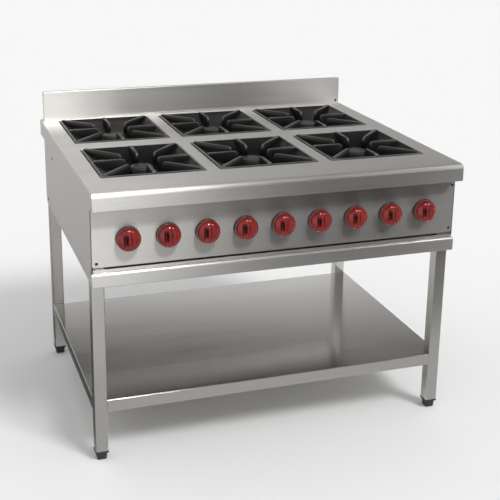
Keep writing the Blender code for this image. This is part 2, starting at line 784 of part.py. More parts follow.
def make_fin(angle, half_width, half_depth):
    """One upright fin, from the rim towards the open centre."""
    turn = math.radians(angle)
    is_corner = angle % 90 == 45
    if is_corner:
        turn = math.atan2(
            math.copysign(half_depth, math.sin(turn)), math.copysign(half_width, math.cos(turn)))
    reach = min(
        half_width / max(abs(math.cos(turn)), 1e-9), half_depth / max(abs(math.sin(turn)), 1e-9))
    outer = reach - (CORNER_FIN_INSET if is_corner else SIDE_FIN_INSET)
    ramp = CORNER_FIN_RAMP if is_corner else SIDE_FIN_RAMP
    tip = CORNER_FIN_TIP if is_corner else SIDE_FIN_TIPS[angle]
    heel = tip + FIN_HEEL
    outline = [
        (outer, RIM_TOP - FIN_SINK / 2),
        (outer - ramp, FIN_TOP),
        (tip + FIN_NOSE, FIN_TOP),
        (tip, FIN_TOP - FIN_NOSE_DROP),
        (heel, bowl_height(heel, reach) - FIN_SINK),
        (outer, bowl_height(outer, reach) - FIN_SINK),
    ]
    bm = bmesh.new()
    verts = [bm.verts.new((radius, -FIN_WIDTH / 2, height)) for radius, height in outline]
    face = bm.faces.new(verts)
    grown = bmesh.ops.extrude_face_region(bm, geom=[face])["geom"]
    far_side = [item for item in grown if isinstance(item, bmesh.types.BMVert)]
    bmesh.ops.translate(bm, vec=(0, FIN_WIDTH, 0), verts=far_side)
    bmesh.ops.recalc_face_normals(bm, faces=bm.faces[:])
    bmesh.ops.rotate(bm, matrix=Matrix.Rotation(turn, 3, "Z"), verts=bm.verts[:])
    return cutter_object("grate_fin_" + str(angle), bm)


def bowl_height(radius, reach):
    """Height of the bowl's upper side at a radius along a fin."""
    share = (radius - BOWL_HOLE_RADIUS) / (reach - BOWL_INSET - BOWL_HOLE_RADIUS)
    return BOWL_BOTTOM + max(0.0, min(1.0, share)) * (BOWL_TOP - BOWL_BOTTOM)


def make_head_mesh():
    """A round burner cap with a stepped skirt."""
    edge_centre = (HEAD_RADIUS - CAP_EDGE_RADIUS, HEAD_TOP - CAP_CROWN - CAP_EDGE_RADIUS)
    skirt = HEAD_RADIUS - CAP_SKIRT_INSET
    profile = [(0.0, HEAD_TOP), (CAP_FLAT_RADIUS, HEAD_TOP - CAP_CROWN)]
    profile += arc_points(edge_centre, CAP_EDGE_RADIUS, 80, 0, 2)
    profile += [
        (HEAD_RADIUS, HEAD_SEAT + CAP_SKIRT + CAP_LIP),
        (skirt, HEAD_SEAT + CAP_SKIRT),
        (skirt, HEAD_SEAT + GAP),
        (0.0, HEAD_SEAT + GAP),
    ]
    head = turned_part("burner_head_form", profile, "cast_iron", 18)
    apply_modifiers(head)
    mesh = head.data
    mesh.shade_smooth()
    mesh.set_sharp_from_angle(angle=math.radians(35))
    drop_tools(head)
    return mesh


def make_mixer(name, column, row, valve_x):
    """A cast mixer tube with its bell mouth at the valve and its burner seat at the end."""
    riser_bottom = Vector((column, row, KNOB_HEIGHT))
    if row < 0.0:
        path = [Vector((valve_x, MIXER_MOUTH, KNOB_HEIGHT)), riser_bottom]
    else:
        bend = Vector((valve_x, row - MIXER_TURN, KNOB_HEIGHT))
        path = bend_path([(valve_x, MIXER_MOUTH, KNOB_HEIGHT), bend, riser_bottom], MIXER_BEND, 3)
    mouth = path[0]
    throat = mouth + (path[1] - mouth).normalized() * MIXER_BELL
    path = [mouth, throat] + path[1:]
    radii = [*MIXER_BELL_RADII] + [1.0] * (len(path) - 2)
    mixer = pipe_mesh_object(name, path, MIXER_RADIUS, "cast_iron", 2, radii)
    seat_profile = [
        (0.0, HEAD_SEAT), (SEAT_RADIUS, HEAD_SEAT), (SEAT_RADIUS, HEAD_SEAT - SEAT_DEPTH),
        (SEAT_NECK_RADIUS, HEAD_SEAT - SEAT_TAPER), (SEAT_NECK_RADIUS, SUPPORT_TOP + SEAT_BASE),
        (SEAT_BASE_RADIUS, SUPPORT_TOP + SEAT_BASE), (SEAT_BASE_RADIUS, SUPPORT_TOP + GAP),
        (0.0, SUPPORT_TOP + GAP),
    ]
    seat = turned_part(name + "_seat", seat_profile, "cast_iron", 16, (column, row, 0))
    apply_modifiers(seat)
    combine(mixer, seat, "UNION")
    apply_modifiers(mixer)
    drop_tools(seat)
    shade_round(mixer)
    return mixer


def make_burners():
    """Six grates, six burner caps and six mixer tubes."""
    grate_mesh = make_grate_mesh()
    head_mesh = make_head_mesh()
    knobs = knob_places()
    for row_name, row, knob_offset in (("front", ROWS[0], 0), ("rear", ROWS[1], 2)):
        for index, (column_name, column) in enumerate(zip(("left", "middle", "right"), COLUMNS)):
            place = row_name + "_" + column_name
            for label, mesh in (("grate_", grate_mesh), ("burner_head_", head_mesh)):
                obj = bpy.data.objects.new(label + place, mesh)
                obj.location = (column, row, 0.0)
                PARTS.objects.link(obj)
            make_mixer("burner_mixer_" + place, column, row, knobs[3 * index + knob_offset])


# ---- gas train -------------------------------------------------------------

def make_valve(name, x):
    """A gas cock: body, orifice hood towards the burner and stub down to the manifold."""
    profile = [
        (0.0, VALVE_REAR), (VALVE_TAIL_RADIUS, VALVE_REAR), (VALVE_RADIUS, VALVE_REAR - VALVE_TAIL),
        (VALVE_RADIUS, VALVE_FRONT + VALVE_NECK), (VALVE_NECK_RADIUS, VALVE_FRONT), (0.0, VALVE_FRONT),
    ]
    body = turned_part(name, [(r, h - VALVE_FRONT) for r, h in profile], "brass", 12)
    apply_modifiers(body)
    lay_on_valve_axis(body.data, x, VALVE_FRONT)
    hood = bmesh.new()
    hood_start = (x, VALVE_REAR - STUB_OVERLAP, KNOB_HEIGHT)
    cylinder_bmesh(hood, hood_start, (x, HOOD_REAR, KNOB_HEIGHT), HOOD_RADIUS, 6)
    stub = bmesh.new()
    stub_top = (x, MANIFOLD_DEPTH, KNOB_HEIGHT - STUB_OVERLAP)
    stub_bottom = (x, MANIFOLD_DEPTH, MANIFOLD_HEIGHT + MANIFOLD_RADIUS + GAP)
    cylinder_bmesh(stub, stub_top, stub_bottom, HOOD_RADIUS, 10)
    tools = [cutter_object("valve_hood", hood), cutter_object("valve_stub", stub)]
    for tool in tools:
        combine(body, tool, "UNION")
    apply_modifiers(body)
    drop_tools(*tools)
    shade_round(body)
    return body


def lay_on_valve_axis(mesh, x, front):
    """Turn a part that was made along Z so that it runs back from the panel."""
    turn = Matrix.Rotation(math.radians(-90), 4, "X")
    mesh.transform(Matrix.Translation((x, front, KNOB_HEIGHT)) @ turn)


def make_pilot(name, x, column):
    """A pilot cock with its thin tube and the pilot tip between two burners."""
    pilot = make_valve(name, x)
    lane = column + PILOT_LANE
    tip_row = (ROWS[0] + ROWS[1]) / 2
    corners = [
        (x, HOOD_REAR - PILOT_TIP_RADIUS, KNOB_HEIGHT), (x, MIXER_MOUTH, KNOB_HEIGHT),
        (lane, VALVE_REAR + PILOT_SWING, KNOB_HEIGHT), (lane, tip_row, KNOB_HEIGHT),
        (lane, tip_row, PILOT_TIP_BOTTOM + PILOT_TIP_RADIUS),
    ]
    tube_path = bend_path(corners, PILOT_TUBE_BEND, 2)
    tube = pipe_mesh_object(name + "_tube", tube_path, PILOT_TUBE_RADIUS, "brass", 1)
    tip = bmesh.new()
    tip_low, tip_high = (lane, tip_row, PILOT_TIP_BOTTOM), (lane, tip_row, PILOT_TIP_TOP)
    cylinder_bmesh(tip, tip_low, tip_high, PILOT_TIP_RADIUS, 10)
    tools = [tube, cutter_object("pilot_tip", tip)]
    for tool in tools:
        combine(pilot, tool, "UNION")
    apply_modifiers(pilot)
    drop_tools(*tools)
    shade_round(pilot)
    return pilot


def make_gas_train():
    """Manifold, inlet pipe, six burner cocks and three pilot cocks."""
    manifold = bmesh.new()
    left = (-MANIFOLD_HALF_WIDTH, MANIFOLD_DEPTH, MANIFOLD_HEIGHT)
    right = (MANIFOLD_HALF_WIDTH, MANIFOLD_DEPTH, MANIFOLD_HEIGHT)
    cylinder_bmesh(manifold, left, right, MANIFOLD_RADIUS, 16)
    align_flat_up(manifold)
    shade_round(mesh_object("gas_manifold", manifold, "steel_pipe"))
    inlet_top = MANIFOLD_HEIGHT - MANIFOLD_RADIUS - GAP
    corners = [
        (INLET_X, MANIFOLD_DEPTH, inlet_top), (INLET_X, MANIFOLD_DEPTH, INLET_HEIGHT),
        (INLET_X, INLET_END, INLET_HEIGHT),
    ]
    inlet_path = bend_path(corners, INLET_BEND, 4)
    shade_round(pipe_mesh_object("gas_inlet", inlet_path, INLET_RADIUS, "steel_pipe", 3))
    names = ("left", "middle", "right")
    for index, x in enumerate(knob_places()):
        group, place = divmod(index, 3)
        if place == 1:
            make_pilot("pilot_burner_" + names[group], x, COLUMNS[group])
        else:
            row = "front" if place == 0 else "rear"
            make_valve("gas_valve_" + row + "_" + names[group], x)


def align_flat_up(bm):
    """Turn a pipe about its own axis so that a flat of its outline faces straight up."""
    centre = (0, MANIFOLD_DEPTH, MANIFOLD_HEIGHT)
    bmesh.ops.rotate(
        bm, cent=centre, matrix=Matrix.Rotation(math.pi / 16, 3, "X"), verts=bm.verts[:])


def make_knob_mesh():
    """A domed knob with a collar, a grip bar between two hollows, and its shaft. Z points outward."""
    back = KNOB_CLEARANCE
    top = back + KNOB_DEPTH
    collar = back + COLLAR_DEPTH
    shaft_end = BODY_FRONT - (VALVE_FRONT - GAP)
    profile = [(radius, top - drop) for radius, drop in DOME]
    profile += [
        (DOME_FOOT_RADIUS, collar), (KNOB_RADIUS, collar - COLLAR_EDGE), (KNOB_RADIUS, back),
        (STEM_RADIUS, back), (STEM_RADIUS, shaft_end), (0.0, shaft_end),
    ]
    knob = turned_part("knob_form", profile, "red_knob", 18)
    hollows = bmesh.new()
    for place, half_width, depth in HOLLOWS:
        scoop = bmesh.ops.create_uvsphere(hollows, u_segments=10, v_segments=6, radius=1.0)["verts"]
        bmesh.ops.scale(hollows, vec=(half_width, HOLLOW_HALF_LENGTH, depth), verts=scoop)
        bmesh.ops.translate(hollows, vec=(place, 0, top - HOLLOW_RISE), verts=scoop)
    tool = cutter_object("finger_hollows", hollows)
    combine(knob, tool, "DIFFERENCE")
    apply_modifiers(knob)
    mesh = knob.data
    mesh.shade_smooth()
    mesh.set_sharp_from_angle(angle=math.radians(35))
    drop_tools(knob, tool)
    return mesh


def make_knobs():
    """Nine knobs, each with its origin on its own axis at the panel."""
    mesh = make_knob_mesh()
    for index, x in enumerate(knob_places()):
        knob = bpy.data.objects.new("knob_" + str(index + 1), mesh)
        knob.location = (x, BODY_FRONT, KNOB_HEIGHT)
        knob.rotation_euler = (math.radians(90), 0, 0)
        PARTS.objects.link(knob)


# ---- assembly --------------------------------------------------------------

make_worktop()
make_backsplash()
make_side_panel("left_side_panel", -1)
make_side_panel("right_side_panel", 1)
make_back_panel()
make_control_panel()
make_front_rail()
make_feet_and_legs()
make_undershelf()
make_drip_tray()
make_tray_runner("left_tray_runner", -1)
make_tray_runner("right_tray_runner", 1)
make_burner_support("front_burner_support", ROWS[0])
make_burner_support("rear_burner_support", ROWS[1])
make_burners()
make_gas_train()
make_knobs()
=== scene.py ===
"""Finish of a six-burner commercial gas range on an open stand: steel, castings, knobs and small parts.

Everything is in metres and +Z is up. The controls face -Y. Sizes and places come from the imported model.
"""
import math

import bmesh
import bpy
from mathutils import Matrix, Vector


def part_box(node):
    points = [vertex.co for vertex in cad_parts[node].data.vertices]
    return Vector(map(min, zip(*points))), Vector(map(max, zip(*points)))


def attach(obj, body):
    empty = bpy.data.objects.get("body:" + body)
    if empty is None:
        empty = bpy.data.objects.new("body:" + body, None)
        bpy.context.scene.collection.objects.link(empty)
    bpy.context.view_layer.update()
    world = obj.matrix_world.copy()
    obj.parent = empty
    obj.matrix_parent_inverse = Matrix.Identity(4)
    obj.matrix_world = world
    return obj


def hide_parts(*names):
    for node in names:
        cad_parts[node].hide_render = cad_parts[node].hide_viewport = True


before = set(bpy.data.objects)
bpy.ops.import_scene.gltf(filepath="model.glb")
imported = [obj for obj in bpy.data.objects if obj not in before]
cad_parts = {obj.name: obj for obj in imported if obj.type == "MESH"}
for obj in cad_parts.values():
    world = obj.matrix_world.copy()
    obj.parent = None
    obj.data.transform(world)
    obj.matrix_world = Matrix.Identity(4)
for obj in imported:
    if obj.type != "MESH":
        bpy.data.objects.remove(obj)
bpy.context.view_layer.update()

EPS = 0.0002
WELD = 1e-6
GAP = 0.0003

# Least turn, in degrees, of an edge that is rounded
ANY_FOLD = 30.0
CUTOUT_FOLD = 40.0
SQUARE_FOLD = 50.0
BLOCK_EDGE = 60.0

# Sheet metal
SHEET = 0.0015
FOLD_RADIUS = 0.0022
CUTOUT_FOLD_RADIUS = 0.8 * FOLD_RADIUS
NOSE_RADIUS = 0.016
NOSE_STEPS = 14
HEM_DEPTH = 0.014
LEDGE_DROP = 0.008
LEDGE_WIDTH = 0.008
HOLE_CORNER = 0.005
CUTOUT_PLAY = 0.002
BACKSPLASH_FLANGE = 0.006
PANEL_CLIP = 0.006
SHAFT_HOLE = 0.006
NOTCH_GAP = 0.0006
RAIL_RADIUS = 0.007
RAIL_STEPS = 7
RAIL_CAP = 0.0012
RAIL_CAP_INSET = 0.0006
RAIL_CAP_CORNER = 0.004
LEG_CORNER = 0.003
SHELF_HEM = 0.012
SHELF_HEM_LENGTH = 0.97
TRAY_INNER = 0.5545
TRAY_LIP_DEPTH = 0.021
TRAY_FOLD = 0.0020
TRAY_SHEET = 0.0012
DRILL_REACH = 0.010
FLAT_NORMALS = "flat_faces_stay_flat"

# Feet
FLANGE_LOW = 0.0237
FLANGE_HIGH = 0.0297
FLANGE_CORNER = 0.003
FLANGE_EDGE = 0.0010
PAD_HALF = 0.0165
PAD_TAPER = 0.88
PAD_OVERLAP = 0.002
PAD_CORNER = 0.004
PAD_EDGE = 0.0012
STEM_PITCH = 0.0016
STEM_CREST = 0.0050
STEM_ROOT = 0.0043
STEM_END = 0.001
PLUG_RISE = 0.0004
PLUG_DEPTH = 0.014
PLUG_CORNER = 0.0016
BORE_PLAY = 0.0006
BORE_LENGTH = 0.06

# Grate: steps inwards along the rim as inset, corner radius and depth below its top, then round the
# hole as extra radius and height over the bowl's lowest edge
RIM_TOP = 0.8925
RIM_FOOT = 0.0015
RIM_INNER_FOOT = 0.0160
SLOPE_INSET = 0.0140
SLOPE_DROP = 0.0052
SLOPE_SAG = 0.004
SLOPE_CORNER = 0.010
BOWL_HOLE = 0.0505
BOWL_LOW = 0.846
BOWL_WALL = 0.0045
HOLE_LIP = 0.0024
RIM_STEPS = (
    (0.0, 0.005, 0.0014), (0.0005, 0.005, 0.0005), (0.0014, 0.005, 0.0), (0.0072, 0.006, 0.0),
    (0.0082, 0.006, 0.0008), (0.0088, 0.006, 0.0034), (0.0100, 0.006, 0.0040), (0.0128, 0.008, 0.0042),
    (SLOPE_INSET, 0.009, SLOPE_DROP),
)
HOLE_STEPS = ((0.0030, HOLE_LIP), (0.0008, 0.0016), (0.0, 0.0004), (0.0, -0.0030), (0.0020, -0.0038))
UPPER_SHARES = (0.12, 0.30, 0.50, 0.70, 0.88)
LOWER_SHARES = (0.85, 0.5, 0.15)
OUTLINE_POINTS = 64

# Fin: heel as distance in from its outer end and depth below its crest, nose as distance from its tip
# and depth below its crest
FIN_TOP = 0.897
SIDE_TIPS = {0: 0.052, 90: 0.062, 180: 0.052, 270: 0.078}
CORNER_TIP = 0.080
SIDE_FIN_INSET = 0.0075
CORNER_FIN_INSET = 0.0145
FIN_HEEL = ((0.0008, 0.0035), (0.0028, 0.0008), (0.0060, 0.0))
FIN_NOSE = ((0.016, 0.0), (0.008, 0.0008), (0.0032, 0.0032), (0.0008, 0.0075), (0.0, 0.0130))
FIN_HEEL_SINK = 0.0035
FIN_CHIN = 0.004
FIN_CHIN_SINK = 0.0020
FIN_ROOT_SINK = 0.0025
FIN_ROOT_TOP = 0.0060
FIN_ROOT_WIDTH = 0.0135
FIN_TIP_WIDTH = 0.0070
FIN_FLARE = 0.06
FIN_CREST_DEPTH = 0.012
FIN_CREST_RADIUS = 0.0014

# Burner head: radius and depth below the top, then inset from the rim and height over the base
CAP_TOP = ((0.0, 0.0006), (0.010, 0.0008), (0.0205, 0.0016), (0.0225, 0.0018), (0.0240, 0.0002),
           (0.0262, 0.0))
CAP_SHOULDER = (0.0050, 0.0008)
CAP_EDGE_RADIUS = 0.0036
CAP_EDGE_DROP = 0.0046
CAP_EDGE_ANGLES = (1.2, 0.8, 0.4, 0.0)
CAP_SKIRT = ((0.0, 0.0062), (0.0016, 0.0050), (0.0052, 0.0046), (0.0056, 0.0040), (0.0056, 0.0))
PORTS = 30
TOOTH_INSETS = (0.0060, 0.0030)
TOOTH_HALF = 0.0016
TOOTH_HEIGHTS = (0.0001, 0.0049)

# Mixer tube: radius and place along each turned part
MIXER_RADIUS = 0.014
MIXER_BEND = 0.12
MIXER_TURN_BEFORE = 0.150
MIXER_START = 0.020
SUPPORT_TOP = 0.7165
BELL = ((0.0, 0.0), (0.0165, 0.0), (0.0189, 0.0016), (0.0189, 0.0040), (0.0160, 0.0100),
        (0.0130, 0.0190), (0.0125, 0.0300), (0.0, 0.0300))
THROAT = ((0.0, -0.001), (0.0120, -0.001), (0.0105, 0.012), (0.0, 0.012))
SEAT_UPPER = ((0.0, 0.0), (0.0295, 0.0), (0.0310, 0.0015), (0.0310, 0.020), (0.0285, 0.028),
              (0.0210, 0.042), (0.0190, 0.050))
SEAT_LOWER = ((0.0190, 0.006), (0.0215, 0.004), (0.0260, 0.0036), (0.0260, 0.0), (0.0, 0.0))

# Gas inlet
INLET_X = 0.525
INLET_HEIGHT = 0.660
INLET_RADIUS = 0.0125
INLET_HOLE = 0.0155
INLET_HOLE_REACH = 0.012
INLET_BEND = 0.016
PIPE_PITCH = 0.0018
PIPE_THREADS = 13
PIPE_THREAD_DEPTH = 0.0010
PIPE_THREAD_LENGTH = 0.026
PIPE_OVERLAP = 0.002
PIPE_END = ((0.0012, 0.0012), (0.0020, 0.0), (0.0045, 0.0))
PIPE_BORE_END = 0.004

# Knob: hollows as place across the dome, half width, depth and darkness of the painted shade in it
KNOB_COUNT = 9
KNOB_GAP = 0.0015
DOME_RADIUS = 0.0365
DOME_STEPS = 26
DOME_SHOULDER = 0.0065
DOME_BULGE = 0.92
DOME_CROWN = 0.86
DOME_SKIRT = ((0.0002, 0.0020), (0.0012, -0.0004))
COLLAR_RADIUS = 0.0373
COLLAR_DEPTH = 0.0075
COLLAR_RECESS = 0.002
COLLAR_FOOT = ((0.0012, 0.0005), (0.0, 0.0014))
COLLAR_WALL = ((0.0, -0.0018), (0.0005, -0.0006), (0.0016, 0.0))
COLLAR_SEAT = ((0.0006, 0.0), (0.0012, 0.0008))
SHAFT_RADIUS = 0.0038
SHAFT_CHAMFER = 0.0008
SHAFT_START = 0.004
HOLLOWS = ((-0.0112, 0.0088, 0.0125, 1.0), (0.0066, 0.0056, 0.0060, 0.45))
HOLLOW_HALF_LENGTH = 0.0235
HOLLOW_FLOOR = 0.004
HOLLOW_TAPER = 0.22
HOLLOW_ROUND_ACROSS = 1.4
HOLLOW_ROUND_ALONG = 1.1

# Screw: radius and height
SCREW_HEAD = ((0.0, 0.0021), (0.0012, 0.0021), (0.0024, 0.0018), (0.0033, 0.0011), (0.0036, 0.0004),
              (0.0036, -0.0008), (0.0, -0.0008))
SCREW_WASHER = ((0.0, 0.0005), (0.0045, 0.0005), (0.0049, 0.0002), (0.0049, -0.0003), (0.0, -0.0003))
SCREW_SLOT = ((-0.0020, -0.00035, 0.0010), (0.0020, 0.00035, 0.0030))

# Finishes
STEEL_METAL = 0.965
STEEL_TINT = (0.66, 0.643, 0.615)
STREAKS = (240.0, 2.2)
SMEARS = (7.0, 1.6)
# Cast iron darker low down: full below the first height, gone above the second, towards this tone
DARKENING_LOW = 0.862
DARKENING_HIGH = 0.893
LOW_DOWN_TONE = (0.0025, 0.0024, 0.0023)
# Painted shade in the knobs' finger hollows
HOLLOW_SHADE_RED = (0.035, 0.003, 0.003)
EVEN = (1.0, 1.0, 1.0)

# Camera and studio
CAMERA_PLACE = (-1.1096, -3.3219, 1.7537)
CAMERA_TURNS = (19.261, 16.563, 0.915)
CAMERA_LENS = 75.33
CAMERA_SENSOR = 36.0
CAMERA_SHIFT = -0.12
CAMERA_REACH = 60.0
MIRRORED_EYE = (-1.11, 2.38)
MIRROR_REACH = 2.9
CARD_HEIGHT = 0.004
STUDIO_END = -7.0
FLOOR_HALF = 60.0
FLOOR_HEIGHT = -0.0005

LEFT, RIGHT = -1, 1
OUTWARD = Matrix.Rotation(math.pi / 2, 3, "X")
INWARD = Matrix.Rotation(-math.pi / 2, 3, "X")
COLUMN_NAMES = ("left", "middle", "right")
ROW_NAMES = ("front", "rear")
CORNER_NAMES = ("front_left", "front_right", "rear_left", "rear_right")
HOUSE = "range_body"


# ---- materials -------------------------------------------------------------

def finish_material(name):
    """An empty Principled material, with its nodes and links at hand."""
    material = bpy.data.materials.new(name)
    material.use_nodes = True
    tree = material.node_tree
    return material, tree.nodes, tree.links, tree.nodes["Principled BSDF"]


def feed(links, socket, value):
    """Give a socket a link, a colour or a number."""
    if isinstance(value, bpy.types.NodeSocket):
        links.new(value, socket)
    else:
        socket.default_value = (*value, 1.0) if isinstance(value, tuple) else value


def settings(shader, **values):
    """Set a shader's plain numbers by name, with _ for each space."""
    for name, value in values.items():
        shader.inputs[name.replace("_", " ")].default_value = value


def scaled(colour, share):
    """A colour made lighter or darker."""
    return tuple(channel * share for channel in colour)


def object_pattern(nodes, links, scale=EVEN, offset=(0.0, 0.0, 0.0)):
    """Object coordinates, stretched by a scale for each axis."""
    place = nodes.new("ShaderNodeTexCoord")
    mapping = nodes.new("ShaderNodeMapping")
    mapping.inputs["Scale"].default_value = scale
    mapping.inputs["Location"].default_value = offset
    links.new(place.outputs["Object"], mapping.inputs["Vector"])
    return mapping.outputs["Vector"]


def axes_of(nodes, links, value):
    """The X, Y and Z of a vector."""
    split = nodes.new("ShaderNodeSeparateXYZ")
    links.new(value, split.inputs["Vector"])
    return split.outputs


def sum_of(nodes, links, kind, *values):
    """One step of arithmetic on sockets and numbers."""
    step = nodes.new("ShaderNodeMath")
    step.operation = kind
    for socket, value in zip(step.inputs, values):
        feed(links, socket, value)
    return step.outputs[0]


def noise_field(nodes, links, vector, scale, detail=3.0, roughness=0.55):
    """A noise texture on a pattern."""
    field = nodes.new("ShaderNodeTexNoise")
    field.inputs["Scale"].default_value = scale
    field.inputs["Detail"].default_value = detail
    field.inputs["Roughness"].default_value = roughness
    links.new(vector, field.inputs["Vector"])
    return field.outputs["Fac"]


def spread(nodes, links, value, low, high, start=0.3, end=0.7):
    """Map a value's useful part onto a new range."""
    step = nodes.new("ShaderNodeMapRange")
    step.inputs["From Min"].default_value = start
    step.inputs["From Max"].default_value = end
    step.inputs["To Min"].default_value = low
    step.inputs["To Max"].default_value = high
    links.new(value, step.inputs["Value"])
    return step.outputs["Result"]


def mixed(nodes, links, factor, first, second):
    """Blend two colours, each a socket, a colour or a grey level."""
    mix = nodes.new("ShaderNodeMix")
    mix.data_type = "RGBA"
    feed(links, mix.inputs["Factor"], factor)
    for socket, value in ((mix.inputs["A"], first), (mix.inputs["B"], second)):
        feed(links, socket, (value, value, value) if isinstance(value, float) else value)
    return mix.outputs["Result"]


def add_relief(nodes, links, shader, height, strength, distance):
    """A bump from a height value."""
    bump = nodes.new("ShaderNodeBump")
    bump.inputs["Strength"].default_value = strength
    bump.inputs["Distance"].default_value = distance
    links.new(height, bump.inputs["Height"])
    links.new(bump.outputs["Normal"], shader.inputs["Normal"])


def along_grain(grain_axis, across, along):
    """A scale for each axis, with its own value along the brushing."""
    scale = [across, across, across]
    scale[grain_axis] = along
    return scale


def brushed_steel(name, grain_axis, roughness=0.34, stretch=0.92):
    """Stainless sheet, brushed along one axis: fine streaks, soft smears and a stretched shine."""
    material, nodes, links, shader = finish_material(name)
    streak_pattern = object_pattern(nodes, links, along_grain(grain_axis, *STREAKS))
    streaks = noise_field(nodes, links, streak_pattern, scale=1.0, detail=4.0, roughness=0.62)
    smear_pattern = object_pattern(nodes, links, along_grain(grain_axis, *SMEARS), (3, 1, 2))
    smears = noise_field(nodes, links, smear_pattern, scale=1.0, detail=2.0)
    shade = spread(nodes, links, streaks, 0.0, 1.0)
    colour = mixed(nodes, links, shade, scaled(STEEL_TINT, 0.96), scaled(STEEL_TINT, 1.03))
    links.new(colour, shader.inputs["Base Color"])
    fine = spread(nodes, links, streaks, roughness - 0.02, roughness + 0.02)
    broad = spread(nodes, links, smears, -0.015, 0.015)
    links.new(sum_of(nodes, links, "ADD", fine, broad), shader.inputs["Roughness"])
    settings(shader, Metallic=STEEL_METAL, Specular_IOR_Level=0.2, Anisotropic=stretch)
    tangent = nodes.new("ShaderNodeTangent")
    tangent.direction_type = "UV_MAP"
    tangent.uv_map = "grain"
    links.new(tangent.outputs["Tangent"], shader.inputs["Tangent"])
    add_relief(nodes, links, shader, streaks, strength=0.025, distance=0.0001)
    return material


def cast_iron(name, base, wear_and_highlight, roughness):
    """Sand-cast iron: pitted, darker low down, lighter on its edges from wear and a painted highlight, and a
    painted highlight on its rim's flat top.
    """
    material, nodes, links, shader = finish_material(name)
    pattern = object_pattern(nodes, links)
    grain = noise_field(nodes, links, pattern, scale=420.0, detail=4.0, roughness=0.65)
    patches = noise_field(nodes, links, pattern, scale=26.0, detail=3.0, roughness=0.6)
    ground = mixed(nodes, links, spread(nodes, links, patches, 0.0, 1.0), base, scaled(base, 1.7))
    surface = nodes.new("ShaderNodeNewGeometry").outputs
    height = axes_of(nodes, links, nodes.new("ShaderNodeTexCoord").outputs["Object"])["Z"]
    # Darker low down, fading to the casting's own tone higher up
    own_tone_share = spread(nodes, links, height, 0.15, 1.0, DARKENING_LOW, DARKENING_HIGH)
    # Edges lighter: partly wear, partly a painted highlight
    edge_wear_and_highlight = spread(nodes, links, surface["Pointiness"], 0.0, 0.90, 0.530, 0.600)
    body = mixed(nodes, links, edge_wear_and_highlight, mixed(nodes, links, own_tone_share, LOW_DOWN_TONE, ground), wear_and_highlight)
    # Painted highlight: the up-facing flat top of the rim takes the lighter colour
    level = spread(nodes, links, axes_of(nodes, links, surface["Normal"])["Z"], 0.0, 1.0, 0.92, 0.99)
    above = spread(nodes, links, height, 0.0, 1.0, RIM_TOP - 0.0012, RIM_TOP - 0.0004)
    below = spread(nodes, links, height, 0.55, 0.0, RIM_TOP + 0.0006, RIM_TOP + 0.0020)
    rim = sum_of(nodes, links, "MULTIPLY", sum_of(nodes, links, "MULTIPLY", level, above), below)
    links.new(mixed(nodes, links, rim, body, wear_and_highlight), shader.inputs["Base Color"])
    links.new(spread(nodes, links, patches, roughness - 0.08, roughness + 0.10), shader.inputs["Roughness"])
    settings(shader, Metallic=0.25, Specular_IOR_Level=0.35)
    add_relief(nodes, links, shader, grain, strength=0.35, distance=0.0006)
    return material


def gloss_plastic(name, base, deep, roughness):
    """Moulded phenolic with a polished skin, and painted shade darkening its finger hollows."""
    material, nodes, links, shader = finish_material(name)
    pattern = object_pattern(nodes, links)
    clouds = noise_field(nodes, links, pattern, scale=34.0, detail=2.0)
    colour = mixed(nodes, links, spread(nodes, links, clouds, 0.0, 1.0), base, deep)
    # Painted shade: the hollow attribute darkens the finger hollows nearly to black
    hollow = nodes.new("ShaderNodeAttribute")
    hollow.attribute_name = "hollow"
    hollow_shade_share = spread(nodes, links, hollow.outputs["Fac"], 0.0, 1.0, 0.05, 0.80)
    links.new(mixed(nodes, links, hollow_shade_share, colour, HOLLOW_SHADE_RED), shader.inputs["Base Color"])
    scuffs = noise_field(nodes, links, pattern, scale=260.0, detail=3.0)
    links.new(spread(nodes, links, scuffs, roughness * 0.8, roughness * 1.5), shader.inputs["Roughness"])
    settings(shader, Specular_IOR_Level=0.35, Coat_Weight=0.35, Coat_Roughness=0.07)
    add_relief(nodes, links, shader, clouds, strength=0.03, distance=0.0004)
    return material


def matt_plastic(name, base, roughness):
    """Moulded black plastic with a fine spark-eroded grain."""
    material, nodes, links, shader = finish_material(name)
    pattern = object_pattern(nodes, links)
    grain = noise_field(nodes, links, pattern, scale=900.0, detail=2.0)
    dust = noise_field(nodes, links, pattern, scale=22.0, detail=3.0)
    colour = mixed(nodes, links, spread(nodes, links, dust, 0.0, 1.0), base, scaled(base, 1.9))
    links.new(colour, shader.inputs["Base Color"])
    links.new(spread(nodes, links, grain, roughness - 0.05, roughness + 0.08), shader.inputs["Roughness"])
    add_relief(nodes, links, shader, grain, strength=0.15, distance=0.0003)
    return material


def machined_metal(name, base, dull, roughness):
    """Turned or drawn metal with tool marks and a little tarnish."""
    material, nodes, links, shader = finish_material(name)
    pattern = object_pattern(nodes, links)
    marks = noise_field(nodes, links, pattern, scale=320.0, detail=3.0)
    tarnish = noise_field(nodes, links, pattern, scale=30.0, detail=4.0, roughness=0.6)
    colour = mixed(nodes, links, spread(nodes, links, tarnish, 0.0, 1.0), base, dull)
    links.new(colour, shader.inputs["Base Color"])
    links.new(spread(nodes, links, tarnish, roughness - 0.06, roughness + 0.14), shader.inputs["Roughness"])
    settings(shader, Metallic=1.0)
    add_relief(nodes, links, shader, marks, strength=0.12, distance=0.0002)
    return material


